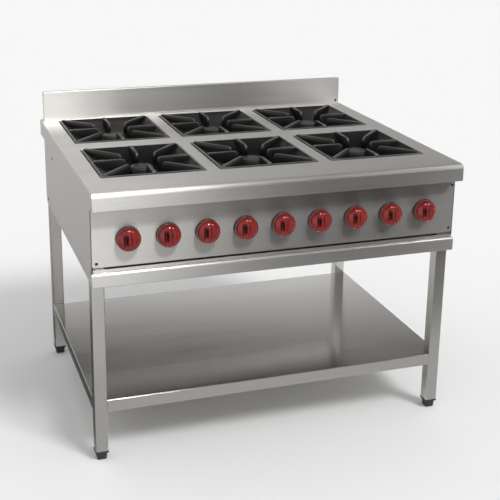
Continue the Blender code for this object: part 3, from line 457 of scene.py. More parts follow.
def plain_steel(name, tint, roughness):
    """Unpolished sheet for the pieces inside, with a faint mottle."""
    material, nodes, links, shader = finish_material(name)
    rolled = object_pattern(nodes, links, (3.0, 90.0, 90.0))
    rolling = noise_field(nodes, links, rolled, scale=2.0, detail=3.0)
    mottle = noise_field(nodes, links, object_pattern(nodes, links), scale=18.0, detail=3.0)
    colour = mixed(nodes, links, spread(nodes, links, mottle, 0.0, 1.0), scaled(tint, 0.85), tint)
    links.new(colour, shader.inputs["Base Color"])
    links.new(spread(nodes, links, rolling, roughness - 0.06, roughness + 0.08), shader.inputs["Roughness"])
    settings(shader, Metallic=1.0)
    add_relief(nodes, links, shader, rolling, strength=0.10, distance=0.0002)
    return material


PLAIN_STEEL = plain_steel("steel_rolled", (0.50, 0.49, 0.47), 0.42)
STEEL_X = brushed_steel("steel_brushed_across", 0)
SHELF_STEEL = brushed_steel("steel_shelf", 0, roughness=0.14, stretch=0.50)
STEEL_Y = brushed_steel("steel_brushed_deep", 1)
STEEL_Z = brushed_steel("steel_brushed_upright", 2, roughness=0.24, stretch=0.60)
GRATE_IRON = cast_iron("grate_iron", (0.009, 0.0088, 0.0085), (0.22, 0.215, 0.205), 0.44)
CAP_IRON = cast_iron("cap_iron", (0.060, 0.058, 0.055), (0.22, 0.21, 0.20), 0.40)
MIXER_IRON = cast_iron("mixer_iron", (0.05, 0.047, 0.044), (0.12, 0.11, 0.10), 0.62)
KNOB_RED = gloss_plastic("knob_red", (0.23, 0.015, 0.012), (0.17, 0.010, 0.009), 0.12)
COLLAR_BLACK = matt_plastic("collar_black", (0.018, 0.017, 0.017), 0.38)
FOOT_BLACK = matt_plastic("foot_black", (0.016, 0.016, 0.016), 0.52)
SCREW_STEEL = machined_metal("screw_steel", (0.16, 0.155, 0.15), (0.06, 0.058, 0.056), 0.36)
BRASS = machined_metal("cock_brass", (0.62, 0.44, 0.20), (0.40, 0.27, 0.12), 0.34)
PIPE_STEEL = machined_metal("pipe_steel", (0.30, 0.30, 0.30), (0.18, 0.17, 0.165), 0.42)
SHAFT_STEEL = machined_metal("shaft_steel", (0.55, 0.55, 0.54), (0.38, 0.37, 0.36), 0.28)


# ---- mesh helpers ----------------------------------------------------------

def finished(name, bm, material, body=HOUSE, replaces=(), smooth=35.0):
    """Make a piece from a bmesh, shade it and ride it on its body."""
    mesh = bpy.data.meshes.new(name)
    bm.to_mesh(mesh)
    bm.free()
    mesh.materials.append(material)
    mesh.shade_smooth()
    mesh.set_sharp_from_angle(angle=math.radians(smooth))
    piece = bpy.data.objects.new(name, mesh)
    bpy.context.scene.collection.objects.link(piece)
    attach(piece, body)
    if replaces:
        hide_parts(*replaces)
    return piece


def sheet_sides(low, high, sides):
    """The named sides of a box, such as -x or +z, as an open sheet."""
    bm = bmesh.new()
    low, high = Vector(low), Vector(high)
    bmesh.ops.create_cube(bm, size=1.0)
    bmesh.ops.scale(bm, vec=high - low, verts=bm.verts[:])
    bmesh.ops.translate(bm, vec=(low + high) / 2, verts=bm.verts[:])
    bm.normal_update()
    wanted = [("xyz".index(side[1]), 1.0 if side[0] == "+" else -1.0) for side in sides]
    spare = [
        face for face in bm.faces
        if not any(face.normal[axis] * sign > 0.9 for axis, sign in wanted)
    ]
    bmesh.ops.delete(bm, geom=spare, context="FACES")
    return bm


def score(bm, axis, values, faces=None):
    """Cut a sheet along planes square to an axis."""
    normal = Vector((0, 0, 0))
    normal[axis] = 1.0
    for value in values:
        chosen = [face for face in bm.faces if faces is None or faces(face)]
        edges = {edge for face in chosen for edge in face.edges}
        verts = {vert for face in chosen for vert in face.verts}
        bmesh.ops.bisect_plane(
            bm, geom=chosen + list(edges) + list(verts), dist=WELD,
            plane_co=normal * value, plane_no=normal)


def drop(bm, test):
    """Remove the faces whose middle passes a test."""
    bmesh.ops.delete(
        bm, geom=[face for face in bm.faces if test(face.calc_center_median())], context="FACES")


def free_edges(bm, test=lambda vert: True):
    """Open edges whose ends both pass a test."""
    return [edge for edge in bm.edges if edge.is_boundary and all(test(vert) for vert in edge.verts)]


def grow(bm, edges, offset):
    """Extrude edges by an offset and return the new vertices and edges."""
    made = bmesh.ops.extrude_edge_only(bm, edges=edges)["geom"]
    verts = [item for item in made if isinstance(item, bmesh.types.BMVert)]
    bmesh.ops.translate(bm, vec=offset, verts=verts)
    owned = set(verts)
    return verts, [edge for edge in bm.edges if edge.is_boundary and all(v in owned for v in edge.verts)]


def round_edges(bm, edges, radius, steps=3):
    """Round edges with an even arc."""
    bmesh.ops.bevel(
        bm, geom=edges, offset=radius, offset_type="OFFSET", segments=steps, profile=0.5,
        affect="EDGES", material=-1, clamp_overlap=True)


def fold_lines(bm, angle=ANY_FOLD):
    """The inner edges where a sheet turns a corner."""
    return [
        edge for edge in bm.edges
        if len(edge.link_faces) == 2 and edge.calc_face_angle(0.0) > math.radians(angle)
    ]


def upright_edges(bm):
    """The edges that rise or fall."""
    return [edge for edge in bm.edges if abs(edge.verts[0].co.z - edge.verts[1].co.z) > EPS]


def lay_grain(bm, axis):
    """A UV map with V along the brushing and U across it, the way the shine stretches."""
    layer = bm.loops.layers.uv.new("grain")
    others = [index for index in range(3) if index != axis]
    bm.normal_update()
    for face in bm.faces:
        along = axis
        across = others[0] if abs(face.normal[others[0]]) < abs(face.normal[others[1]]) else others[1]
        if abs(face.normal[axis]) > 0.7:
            along, across = others
        for loop in face.loops:
            loop[layer].uv = (loop.vert.co[across], loop.vert.co[along])


def steel_piece(name, bm, grain_axis, body=HOUSE, replaces=(), thickness=SHEET, material=None):
    """Finish a folded sheet: brushing, piece, thickness on its inner side."""
    lay_grain(bm, grain_axis)
    material = material or (STEEL_X, STEEL_Y, STEEL_Z)[grain_axis]
    piece = finished(name, bm, material, body, replaces)
    wall = piece.modifiers.new("sheet", "SOLIDIFY")
    wall.thickness = thickness
    wall.offset = -1.0
    wall.use_even_offset = True
    flatten_normals(piece)
    return piece


def flatten_normals(piece):
    """Let the large flat faces set the shading beside each fold."""
    level = piece.modifiers.new(FLAT_NORMALS, "WEIGHTED_NORMAL")
    level.keep_sharp = True


def turned(profile, steps, centre=(0, 0, 0), turn=None):
    """Spin a profile of (radius, height) points about Z into a closed shape, then place it."""
    bm = bmesh.new()
    verts = [bm.verts.new((radius, 0.0, height)) for radius, height in profile]
    edges = [bm.edges.new(pair) for pair in zip(verts, verts[1:])]
    bmesh.ops.spin(
        bm, geom=verts + edges, cent=(0, 0, 0), axis=(0, 0, 1), dvec=(0, 0, 0),
        angle=math.tau, steps=steps, use_merge=True, use_duplicate=False)
    bmesh.ops.remove_doubles(bm, verts=bm.verts[:], dist=WELD)
    bmesh.ops.recalc_face_normals(bm, faces=bm.faces[:])
    place(bm, centre, turn)
    return bm


def place(bm, centre, turn=None):
    """Turn a shape about the origin, then move it."""
    if turn is not None:
        bmesh.ops.rotate(bm, cent=(0, 0, 0), matrix=turn, verts=bm.verts[:])
    bmesh.ops.translate(bm, vec=Vector(centre), verts=bm.verts[:])


def rod(radius, start, end, steps, centre, turn=None):
    """A plain closed rod, for cutting holes."""
    return turned([(0, start), (radius, start), (radius, end), (0, end)], steps, centre, turn)


def joined(pieces):
    """Union closed shapes into one bmesh with an exact Boolean."""
    objects = []
    for index, bm in enumerate(pieces):
        mesh = bpy.data.meshes.new("joining_" + str(index))
        bm.to_mesh(mesh)
        bm.free()
        item = bpy.data.objects.new("joining_" + str(index), mesh)
        bpy.context.scene.collection.objects.link(item)
        objects.append(item)
    first = objects[0]
    for other in objects[1:]:
        step = first.modifiers.new("union", "BOOLEAN")
        step.operation = "UNION"
        step.solver = "EXACT"
        step.object = other
    bpy.context.view_layer.update()
    graph = bpy.context.evaluated_depsgraph_get()
    mesh = bpy.data.meshes.new_from_object(first.evaluated_get(graph))
    for item in objects:
        bpy.data.objects.remove(item, do_unlink=True)
    bm = bmesh.new()
    bm.from_mesh(mesh)
    bpy.data.meshes.remove(mesh)
    bmesh.ops.remove_doubles(bm, verts=bm.verts[:], dist=WELD)
    return bm


# ---- sheet metal pieces ----------------------------------------------------

WORKTOP_LOW, WORKTOP_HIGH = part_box("worktop")
TOP = WORKTOP_HIGH.z
FRONT = WORKTOP_LOW.y
COLUMNS = []
ROWS = []
for column_name in COLUMN_NAMES:
    low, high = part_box("grate_front_" + column_name)
    COLUMNS.append((low.x + high.x) / 2)
for row_name in ROW_NAMES:
    low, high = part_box("grate_" + row_name + "_left")
    ROWS.append((low.y + high.y) / 2)
GRATE_HALF_X = (high.x - low.x) / 2
GRATE_HALF_Y = (high.y - low.y) / 2
HOLE_HALF_X = GRATE_HALF_X + CUTOUT_PLAY
HOLE_HALF_Y = GRATE_HALF_Y + CUTOUT_PLAY


def make_worktop():
    """The folded top: round nose, hemmed apron, and six cut-outs with a rebated ledge."""
    bm = sheet_sides(WORKTOP_LOW, WORKTOP_HIGH, ("-x", "+x", "-y", "+y", "+z"))
    nose = [
        edge for edge in bm.edges
        if all(vert.co.z > TOP - EPS and vert.co.y < FRONT + EPS for vert in edge.verts)
    ]
    round_edges(bm, nose, NOSE_RADIUS, NOSE_STEPS)
    score(bm, 1, (FRONT + 2 * NOSE_RADIUS,))
    hem = free_edges(bm, lambda vert: vert.co.y < FRONT + EPS)
    verts, _ = grow(bm, hem, (0, HEM_DEPTH, 0))
    width = WORKTOP_HIGH.x - WORKTOP_LOW.x
    bmesh.ops.scale(bm, vec=((width - 2 * HEM_DEPTH) / width, 1, 1), verts=verts)
    on_top = lambda face: all(vert.co.z > TOP - EPS for vert in face.verts)
    score(bm, 0, [column + side * HOLE_HALF_X for column in COLUMNS for side in (LEFT, RIGHT)], on_top)
    score(bm, 1, [row + side * HOLE_HALF_Y for row in ROWS for side in (LEFT, RIGHT)], on_top)
    drop(bm, lambda point: point.z > TOP - EPS and over_a_hole(point))
    for column in COLUMNS:
        for row in ROWS:
            fold_ledge(bm, column, row)
    round_edges(bm, fold_lines(bm, CUTOUT_FOLD), CUTOUT_FOLD_RADIUS, steps=3)
    return steel_piece("worktop_sheet", bm, 0, replaces=("worktop",))


def over_a_hole(point):
    """True over one of the six grate openings."""
    in_column = any(abs(point.x - column) < HOLE_HALF_X for column in COLUMNS)
    return in_column and any(abs(point.y - row) < HOLE_HALF_Y for row in ROWS)


def fold_ledge(bm, column, row):
    """Turn one opening's edge down, round its corners, and turn it in as a ledge."""
    def on_rim(vert):
        offset_x, offset_y = abs(vert.co.x - column), abs(vert.co.y - row)
        touches = abs(offset_x - HOLE_HALF_X) < EPS or abs(offset_y - HOLE_HALF_Y) < EPS
        return (vert.co.z > TOP - EPS and touches
                and offset_x < HOLE_HALF_X + EPS and offset_y < HOLE_HALF_Y + EPS)

    _, edges = grow(bm, free_edges(bm, on_rim), (0, 0, -LEDGE_DROP))
    ledge, _ = grow(bm, edges, (0, 0, 0))
    shrink = (1 - LEDGE_WIDTH / HOLE_HALF_X, 1 - LEDGE_WIDTH / HOLE_HALF_Y, 1)
    bmesh.ops.scale(bm, vec=shrink, space=Matrix.Translation((-column, -row, 0)), verts=ledge)
    corners = [
        edge for edge in bm.edges
        if abs(edge.verts[0].co.z - edge.verts[1].co.z) > LEDGE_DROP / 2
        and all(abs(abs(vert.co.x - column) - HOLE_HALF_X) < EPS
                and abs(abs(vert.co.y - row) - HOLE_HALF_Y) < EPS for vert in edge.verts)
    ]
    round_edges(bm, corners, HOLE_CORNER, 4)


def make_backsplash():
    """The upstand: folded all round, with a narrow flange that lies on the worktop."""
    low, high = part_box("backsplash")
    bm = sheet_sides(low, high, ("-x", "+x", "-y", "+y", "+z"))
    foot = free_edges(bm, lambda vert: vert.co.y < low.y + EPS)
    grow(bm, foot, (0, -BACKSPLASH_FLANGE, 0))
    round_edges(bm, fold_lines(bm), FOLD_RADIUS, steps=4)
    return steel_piece("backsplash_sheet", bm, 0, replaces=("backsplash",))


def make_side_panel(side):
    """A side panel with a bottom flange and a notch for the rail."""
    name = "left_side_panel" if side < 0 else "right_side_panel"
    low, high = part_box(name)
    leg_low, leg_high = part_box("leg_front_left")
    rear_leg_low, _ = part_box("leg_rear_left")
    bm = sheet_sides(low, high, ("-x" if side < 0 else "+x", "-z"))
    flange_front, flange_rear = leg_high.y + 4 * SHEET, rear_leg_low.y - 4 * SHEET
    notch_rear = leg_low.y + NOTCH_GAP
    notch_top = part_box("front_rail")[1].z + 2 * SHEET
    score(bm, 1, (notch_rear, flange_front - SHEET, flange_front, flange_rear, flange_rear + SHEET))
    score(bm, 2, (notch_top,))
    drop(bm, lambda point: point.y < notch_rear and point.z < notch_top)
    drop(bm, lambda point: point.z < low.z + EPS and not flange_front < point.y < flange_rear)
    return steel_piece(name + "_sheet", bm, 1, replaces=(name,))


def make_control_panel():
    """The front panel: folded edges, clipped lower corners and nine shaft holes."""
    low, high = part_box("control_panel")
    bm = sheet_sides(low, high, ("-x", "+x", "-y", "-z"))
    lower_corners = [
        edge for edge in bm.edges
        if all(vert.co.z < low.z + EPS and abs(vert.co.x) > high.x - EPS for vert in edge.verts)
        and abs(edge.verts[0].co.y - edge.verts[1].co.y) > EPS
    ]
    bmesh.ops.bevel(
        bm, geom=lower_corners, offset=PANEL_CLIP, offset_type="OFFSET", segments=1, profile=0.5,
        affect="EDGES", material=-1)
    round_edges(bm, fold_lines(bm, SQUARE_FOLD), FOLD_RADIUS, steps=4)
    piece = steel_piece("control_panel_sheet", bm, 0, replaces=("control_panel",))
    drills = []
    for index in range(KNOB_COUNT):
        x, _, z = knob_centre(index)
        drills.append(rod(SHAFT_HOLE, -DRILL_REACH, DRILL_REACH, 24, (x, low.y, z), OUTWARD))
    drill_through(piece, drills)
    return piece


def drill_through(piece, drills):
    """Cut closed shapes out of a finished piece and keep the result."""
    tool = loose_object("drills", merged(drills))
    level = piece.modifiers.get(FLAT_NORMALS)
    if level:
        piece.modifiers.remove(level)
    cut = piece.modifiers.new("holes", "BOOLEAN")
    cut.operation = "DIFFERENCE"
    cut.solver = "EXACT"
    cut.object = tool
    keep_result(piece)
    bpy.data.objects.remove(tool, do_unlink=True)
    flatten_normals(piece)


def keep_result(piece):
    """Make a piece's modifiers permanent."""
    bpy.context.view_layer.update()
    graph = bpy.context.evaluated_depsgraph_get()
    mesh = bpy.data.meshes.new_from_object(piece.evaluated_get(graph))
    piece.modifiers.clear()
    piece.data = mesh


def loose_object(name, bm):
    """A helper object that is removed again after use."""
    mesh = bpy.data.meshes.new(name)
    bm.to_mesh(mesh)
    bm.free()
    item = bpy.data.objects.new(name, mesh)
    bpy.context.scene.collection.objects.link(item)
    return item


def merged(shapes):
    """Gather several bmeshes in one."""
    bm = bmesh.new()
    for shape in shapes:
        mesh = bpy.data.meshes.new("gathered")
        shape.to_mesh(mesh)
        shape.free()
        bm.from_mesh(mesh)
        bpy.data.meshes.remove(mesh)
    return bm


def make_front_rail():
    """The rail across the front, with a round upper edge and a separate cap at each end."""
    low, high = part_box("front_rail")
    cap_depth = Vector((RAIL_CAP, 0, 0))
    bm = sheet_sides(low + cap_depth, high - cap_depth, ("-y", "-z", "+z"))
    upper = [
        edge for edge in bm.edges
        if all(vert.co.z > high.z - EPS and vert.co.y < low.y + EPS for vert in edge.verts)
    ]
    round_edges(bm, upper, RAIL_RADIUS, RAIL_STEPS)
    round_edges(bm, fold_lines(bm, SQUARE_FOLD), FOLD_RADIUS, steps=3)
    steel_piece("front_rail_channel", bm, 0, replaces=("front_rail",))
    for side, label in ((LEFT, "left"), (RIGHT, "right")):
        face = high.x if side > 0 else low.x
        inner = face - side * (RAIL_CAP - GAP)
        plate = block((min(face, inner), low.y + RAIL_CAP_INSET, low.z + RAIL_CAP_INSET),
                      (max(face, inner), high.y, high.z - RAIL_CAP_INSET))
        front_edges = [
            edge for edge in plate.edges
            if abs(edge.verts[0].co.x - edge.verts[1].co.x) > EPS
            and all(vert.co.y < low.y + 2 * RAIL_CAP_INSET for vert in edge.verts)
        ]
        round_edges(plate, front_edges, RAIL_CAP_CORNER, steps=4)
        lay_grain(plate, 1)
        finished("front_rail_end_" + label, plate, STEEL_Y)


def block(low, high):
    """A closed block between two corners."""
    bm = bmesh.new()
    low, high = Vector(low), Vector(high)
    bmesh.ops.create_cube(bm, size=1.0)
    bmesh.ops.scale(bm, vec=high - low, verts=bm.verts[:])
    bmesh.ops.translate(bm, vec=(low + high) / 2, verts=bm.verts[:])
    bm.normal_update()
    return bm


def make_leg(corner):
    """One square tube with drawn corners."""
    low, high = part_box("leg_" + corner)
    bm = sheet_sides(low, high, ("-x", "+x", "-y", "+y"))
    round_edges(bm, upright_edges(bm), LEG_CORNER, steps=5)
    steel_piece("leg_tube_" + corner, bm, 2, replaces=("leg_" + corner,))


def make_undershelf():
    """The shelf: lips turned down and hemmed, notched round the front legs."""
    low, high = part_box("undershelf")
    leg_low, leg_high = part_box("leg_front_right")
    notch_x, notch_y = leg_low.x - GAP, leg_high.y + GAP
    bm = sheet_sides(low, high, ("-x", "+x", "-y", "+y", "+z"))
    score(bm, 0, (-notch_x, notch_x))
    score(bm, 1, (notch_y,))
    drop(bm, lambda point: abs(point.x) > notch_x and point.y < notch_y)
    for depth in (SHELF_HEM, -SHELF_HEM):
        face = low.y if depth > 0 else high.y
        edge_line = free_edges(bm, lambda vert: abs(vert.co.y - face) < EPS and vert.co.z < low.z + EPS)
        verts, _ = grow(bm, edge_line, (0, depth, 0))
        bmesh.ops.scale(bm, vec=(SHELF_HEM_LENGTH, 1, 1), verts=verts)
    round_edges(bm, fold_lines(bm, SQUARE_FOLD), FOLD_RADIUS, steps=4)
    steel_piece("undershelf_sheet", bm, 0, replaces=("undershelf",), material=SHELF_STEEL)


def make_drip_tray():
    """The pull-out tray: shallow pan with a wide front lip."""
    low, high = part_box("drip_tray")
    lip_rear = low.y + TRAY_LIP_DEPTH
    bm = sheet_sides(low, high, ("-z",))
    score(bm, 0, (-TRAY_INNER, TRAY_INNER))
    score(bm, 1, (lip_rear,))
    drop(bm, lambda point: abs(point.x) > TRAY_INNER and point.y > lip_rear)
    grow(bm, free_edges(bm), (0, 0, high.z - low.z))
    bmesh.ops.recalc_face_normals(bm, faces=bm.faces[:])
    floor = max(bm.faces, key=lambda face: face.calc_area())
    if floor.normal.z > 0:
        bmesh.ops.reverse_faces(bm, faces=bm.faces[:])
    round_edges(bm, fold_lines(bm, SQUARE_FOLD), TRAY_FOLD, steps=3)
    steel_piece("drip_tray_pan", bm, 0, "drip_tray", ("drip_tray",), TRAY_SHEET)


def make_back_panel():
    """The rear cover with rounded folds and a hole for the gas pipe."""
    low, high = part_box("back_panel")
    bm = sheet_sides(low, high, ("-x", "+x", "+y", "-z"))
    round_edges(bm, fold_lines(bm), FOLD_RADIUS, steps=4)
    piece = steel_piece("back_panel_sheet", bm, 0, replaces=("back_panel",))
    centre = (INLET_X, high.y, INLET_HEIGHT)
    pipe_hole = rod(INLET_HOLE, -INLET_HOLE_REACH, INLET_HOLE_REACH, 40, centre, OUTWARD)
    drill_through(piece, [pipe_hole])


# ---- feet ------------------------------------------------------------------

def make_foot(corner):
    """A moulded foot on a threaded stem, and the plug in the leg that the stem screws into."""
    low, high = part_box("foot_" + corner)
    leg_low, leg_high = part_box("leg_" + corner)
    middle = (low + high) / 2
    body = "foot_" + corner
    flange = block((low.x, low.y, FLANGE_LOW), (high.x, high.y, FLANGE_HIGH))
    round_edges(flange, upright_edges(flange), FLANGE_CORNER, steps=3)
    round_edges(flange, fold_lines(flange, BLOCK_EDGE), FLANGE_EDGE, steps=2)
    pad = block((middle.x - PAD_HALF, middle.y - PAD_HALF, low.z),
                (middle.x + PAD_HALF, middle.y + PAD_HALF, FLANGE_LOW + PAD_OVERLAP))
    soles = [vert for vert in pad.verts if vert.co.z < low.z + EPS]
    under_middle = Matrix.Translation((-middle.x, -middle.y, 0))
    bmesh.ops.scale(pad, vec=(PAD_TAPER, PAD_TAPER, 1), space=under_middle, verts=soles)
    round_edges(pad, upright_edges(pad), PAD_CORNER, steps=4)
    round_edges(pad, fold_lines(pad, BLOCK_EDGE), PAD_EDGE, steps=2)
    finished("foot_pad_" + corner, joined([flange, pad]), FOOT_BLACK, body, (body,))
    stem_low = FLANGE_HIGH - PAD_OVERLAP
    profile = [(0.0, stem_low), (STEM_ROOT, stem_low)]
    for turn in range(int((high.z - FLANGE_HIGH - STEM_END) / STEM_PITCH)):
        base = FLANGE_HIGH + turn * STEM_PITCH
        profile += [(STEM_ROOT, base), (STEM_CREST, base + STEM_PITCH / 2)]
    profile += [(STEM_ROOT, high.z - 0.8 * STEM_END), (STEM_ROOT - STEM_END, high.z), (0.0, high.z)]
    stem = turned(profile, steps=16, centre=(middle.x, middle.y, 0))
    finished("foot_stem_" + corner, stem, SHAFT_STEEL, body, smooth=20.0)
    inside = (leg_high.x - leg_low.x) / 2 - SHEET - GAP
    plug = block((middle.x - inside, middle.y - inside, leg_low.z + PLUG_RISE),
                 (middle.x + inside, middle.y + inside, leg_low.z + PLUG_DEPTH))
    round_edges(plug, upright_edges(plug), PLUG_CORNER, steps=2)
    plug_piece = finished("leg_plug_" + corner, plug, FOOT_BLACK)
    bore = rod(STEM_CREST + BORE_PLAY, 0, BORE_LENGTH, 24, (middle.x, middle.y, leg_low.z - DRILL_REACH))
    drill_through(plug_piece, [bore])


# ---- burners and grates ----------------------------------------------------

def outline_point(angle, half_x, half_y, corner, height, roundness):
    """A point on a rectangle with round corners, or on a circle where roundness is 1."""
    direction = Vector((math.cos(angle), math.sin(angle)))
    reach = min(half_x / max(abs(direction.x), WELD), half_y / max(abs(direction.y), WELD))
    point = direction * reach
    if abs(point.x) > half_x - corner and abs(point.y) > half_y - corner:
        pivot = Vector((math.copysign(half_x - corner, point.x), math.copysign(half_y - corner, point.y)))
        point = pivot + (point - pivot).normalized() * corner
    point = point.lerp(direction * min(half_x, half_y), roundness)
    return Vector((point.x, point.y, height))


def make_grate_shell():
    """The casting's rim, its stepped inner edge and the bowl down to the round hole."""
    def rim_step(inset, corner, height):
        return GRATE_HALF_X - inset, GRATE_HALF_Y - inset, corner, height, 0.0

    rim_low = TOP - LEDGE_DROP + GAP
    steps = [rim_step(RIM_FOOT, 0.004, rim_low), rim_step(0.0, 0.005, rim_low + RIM_FOOT)]
    steps += [rim_step(inset, corner, RIM_TOP - depth) for inset, corner, depth in RIM_STEPS]
    steps += [bowl_step(share, 0.0) for share in UPPER_SHARES]
    steps += [(BOWL_HOLE + wider, BOWL_HOLE + wider, SLOPE_CORNER, BOWL_LOW + height, 1.0)
              for wider, height in HOLE_STEPS]
    steps += [bowl_step(share, -BOWL_WALL) for share in LOWER_SHARES]
    steps.append(rim_step(RIM_INNER_FOOT, 0.006, rim_low))
    bm = bmesh.new()
    ring = bmesh.ops.create_circle(bm, cap_ends=False, radius=1.0, segments=OUTLINE_POINTS)["verts"]
    angles = {vert: math.atan2(vert.co.y, vert.co.x) for vert in ring}
    for vert, angle in angles.items():
        vert.co = outline_point(angle, *steps[0])
    edges = bm.edges[:]
    for step in steps[1:] + steps[:1]:
        grown = bmesh.ops.extrude_edge_only(bm, edges=edges)["geom"]
        fresh = {item for item in grown if isinstance(item, bmesh.types.BMVert)}
        next_angles = {}
        for vert in fresh:
            beside = (edge.other_vert(vert) for edge in vert.link_edges)
            before = next(other for other in beside if other in angles)
            next_angles[vert] = angles[before]
            vert.co = outline_point(angles[before], *step)
        edges = [item for item in grown if isinstance(item, bmesh.types.BMEdge)
                 and item.verts[0] in fresh and item.verts[1] in fresh]
        angles = next_angles
    bmesh.ops.remove_doubles(bm, verts=bm.verts[:], dist=WELD)
    bmesh.ops.recalc_face_normals(bm, faces=bm.faces[:])
    return bm


def slope_at(share):
    """Height of the bowl's inside between the rim (0) and the hole (1)."""
    start, end = RIM_TOP - SLOPE_DROP, BOWL_LOW + HOLE_LIP
    return start + (end - start) * share - SLOPE_SAG * math.sin(math.pi * share)


def bowl_step(share, lift):
    """One loop on the way from the rim to the hole."""
    outer_x, outer_y = GRATE_HALF_X - SLOPE_INSET, GRATE_HALF_Y - SLOPE_INSET
    half_x = outer_x + (BOWL_HOLE - outer_x) * share
    half_y = outer_y + (BOWL_HOLE - outer_y) * share
    corner = SLOPE_CORNER + (BOWL_HOLE - SLOPE_CORNER) * share
    return half_x, half_y, min(corner, half_x, half_y), slope_at(share) + lift, share ** 2


def slope_height(radius, reach):
    """Height of the bowl along a ray whose rim lies at a reach."""
    outer = reach - SLOPE_INSET
    share = (outer - radius) / (outer - BOWL_HOLE)
    return slope_at(max(0.0, min(1.0, share)))


def make_fin(angle):
    """One pan support: broad and blunt at the rim, slimmer towards the flame."""
    turn = math.radians(angle)
    corner = angle % 90 == 45
    if corner:
        turn = math.atan2(math.copysign(GRATE_HALF_Y, math.sin(turn)),
                          math.copysign(GRATE_HALF_X, math.cos(turn)))
    reach = min(GRATE_HALF_X / max(abs(math.cos(turn)), WELD), GRATE_HALF_Y / max(abs(math.sin(turn)), WELD))
    outer = reach - (CORNER_FIN_INSET if corner else SIDE_FIN_INSET)
    tip = CORNER_TIP if corner else SIDE_TIPS[angle]
    outline = [(outer, RIM_TOP - FIN_HEEL_SINK)]
    outline += [(outer - back, FIN_TOP - depth) for back, depth in FIN_HEEL]
    outline += [(tip + back, FIN_TOP - depth) for back, depth in FIN_NOSE]
    chin = tip + FIN_CHIN
    outline.append((chin, slope_height(chin, reach) - FIN_CHIN_SINK))
    for share in (0.25, 0.5, 0.75, 1.0):
        radius = chin + (outer - chin) * share
        outline.append((radius, min(slope_height(radius, reach) - FIN_ROOT_SINK, RIM_TOP - FIN_ROOT_TOP)))
    bm = bmesh.new()
    verts = [bm.verts.new((radius, 0.0, height)) for radius, height in outline]
    face = bm.faces.new(verts)
    grown = bmesh.ops.extrude_face_region(bm, geom=[face])["geom"]
    far = {item for item in grown if isinstance(item, bmesh.types.BMVert)}
    for vert in bm.verts:
        share = (vert.co.x - tip) / (outer - tip)
        width = FIN_TIP_WIDTH + (FIN_ROOT_WIDTH - FIN_TIP_WIDTH) * max(0.0, share)
        half = width / 2 + max(0.0, FIN_TOP - vert.co.z) * FIN_FLARE
        vert.co.y = half if vert in far else -half
    bmesh.ops.recalc_face_normals(bm, faces=bm.faces[:])
    crest_edges = [
        edge for edge in fold_lines(bm, BLOCK_EDGE)
        if all(vert.co.z > RIM_TOP - FIN_CREST_DEPTH for vert in edge.verts)
        and edge.verts[0].co.y * edge.verts[1].co.y > 0
    ]
    round_edges(bm, crest_edges, FIN_CREST_RADIUS, steps=2)
    place(bm, (0, 0, 0), Matrix.Rotation(turn, 3, "Z"))
    return bm


def make_grates():
    """One casting, set in each of the six openings."""
    master = joined([make_grate_shell()] + [make_fin(angle) for angle in range(0, 360, 45)])
    holder = bpy.data.meshes.new("grate_master")
    master.to_mesh(holder)
    master.free()
    for place_name, column, row in burner_places():
        bm = bmesh.new()
        bm.from_mesh(holder)
        bmesh.ops.translate(bm, vec=(column, row, 0), verts=bm.verts[:])
        body = "grate_" + place_name
        finished("grate_casting_" + place_name, bm, GRATE_IRON, body, (body,), smooth=32.0)
    bpy.data.meshes.remove(holder)


def burner_places():
    """Name, x and y of each burner."""
    return [
        (row_name + "_" + column_name, column, row)
        for row_name, row in zip(ROW_NAMES, ROWS)
        for column_name, column in zip(COLUMN_NAMES, COLUMNS)
    ]


def make_burner_head(place_name, column, row):
    """The lift-off cap over a ring of flame ports."""
    low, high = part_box("burner_head_" + place_name)
    radius = (high.x - low.x) / 2
    body = "burner_head_" + place_name
    top, base = high.z, low.z
    profile = [(across, top - depth) for across, depth in CAP_TOP]
    profile.append((radius - CAP_SHOULDER[0], top - CAP_SHOULDER[1]))
    profile += [(radius - CAP_EDGE_RADIUS * (1 - math.cos(angle)),
                 top - CAP_EDGE_DROP + CAP_EDGE_RADIUS * math.sin(angle)) for angle in CAP_EDGE_ANGLES]
    profile += [(radius - inset, base + height) for inset, height in CAP_SKIRT]
    profile.append((0.0, base))
    cap = turned(profile, steps=64, centre=(column, row, 0))
    finished("burner_cap_" + place_name, cap, CAP_IRON, body, (body,), smooth=32.0)
    teeth = block((radius - TOOTH_INSETS[0], -TOOTH_HALF, base + TOOTH_HEIGHTS[0]),
                  (radius - TOOTH_INSETS[1], TOOTH_HALF, base + TOOTH_HEIGHTS[1]))
    bmesh.ops.spin(
        teeth, geom=teeth.verts[:] + teeth.edges[:] + teeth.faces[:], cent=(0, 0, 0), axis=(0, 0, 1),
        dvec=(0, 0, 0), angle=math.tau * (1 - 1 / PORTS), steps=PORTS - 1, use_duplicate=True)
    place(teeth, (column, row, 0))
    finished("burner_ports_" + place_name, teeth, CAP_IRON, body)


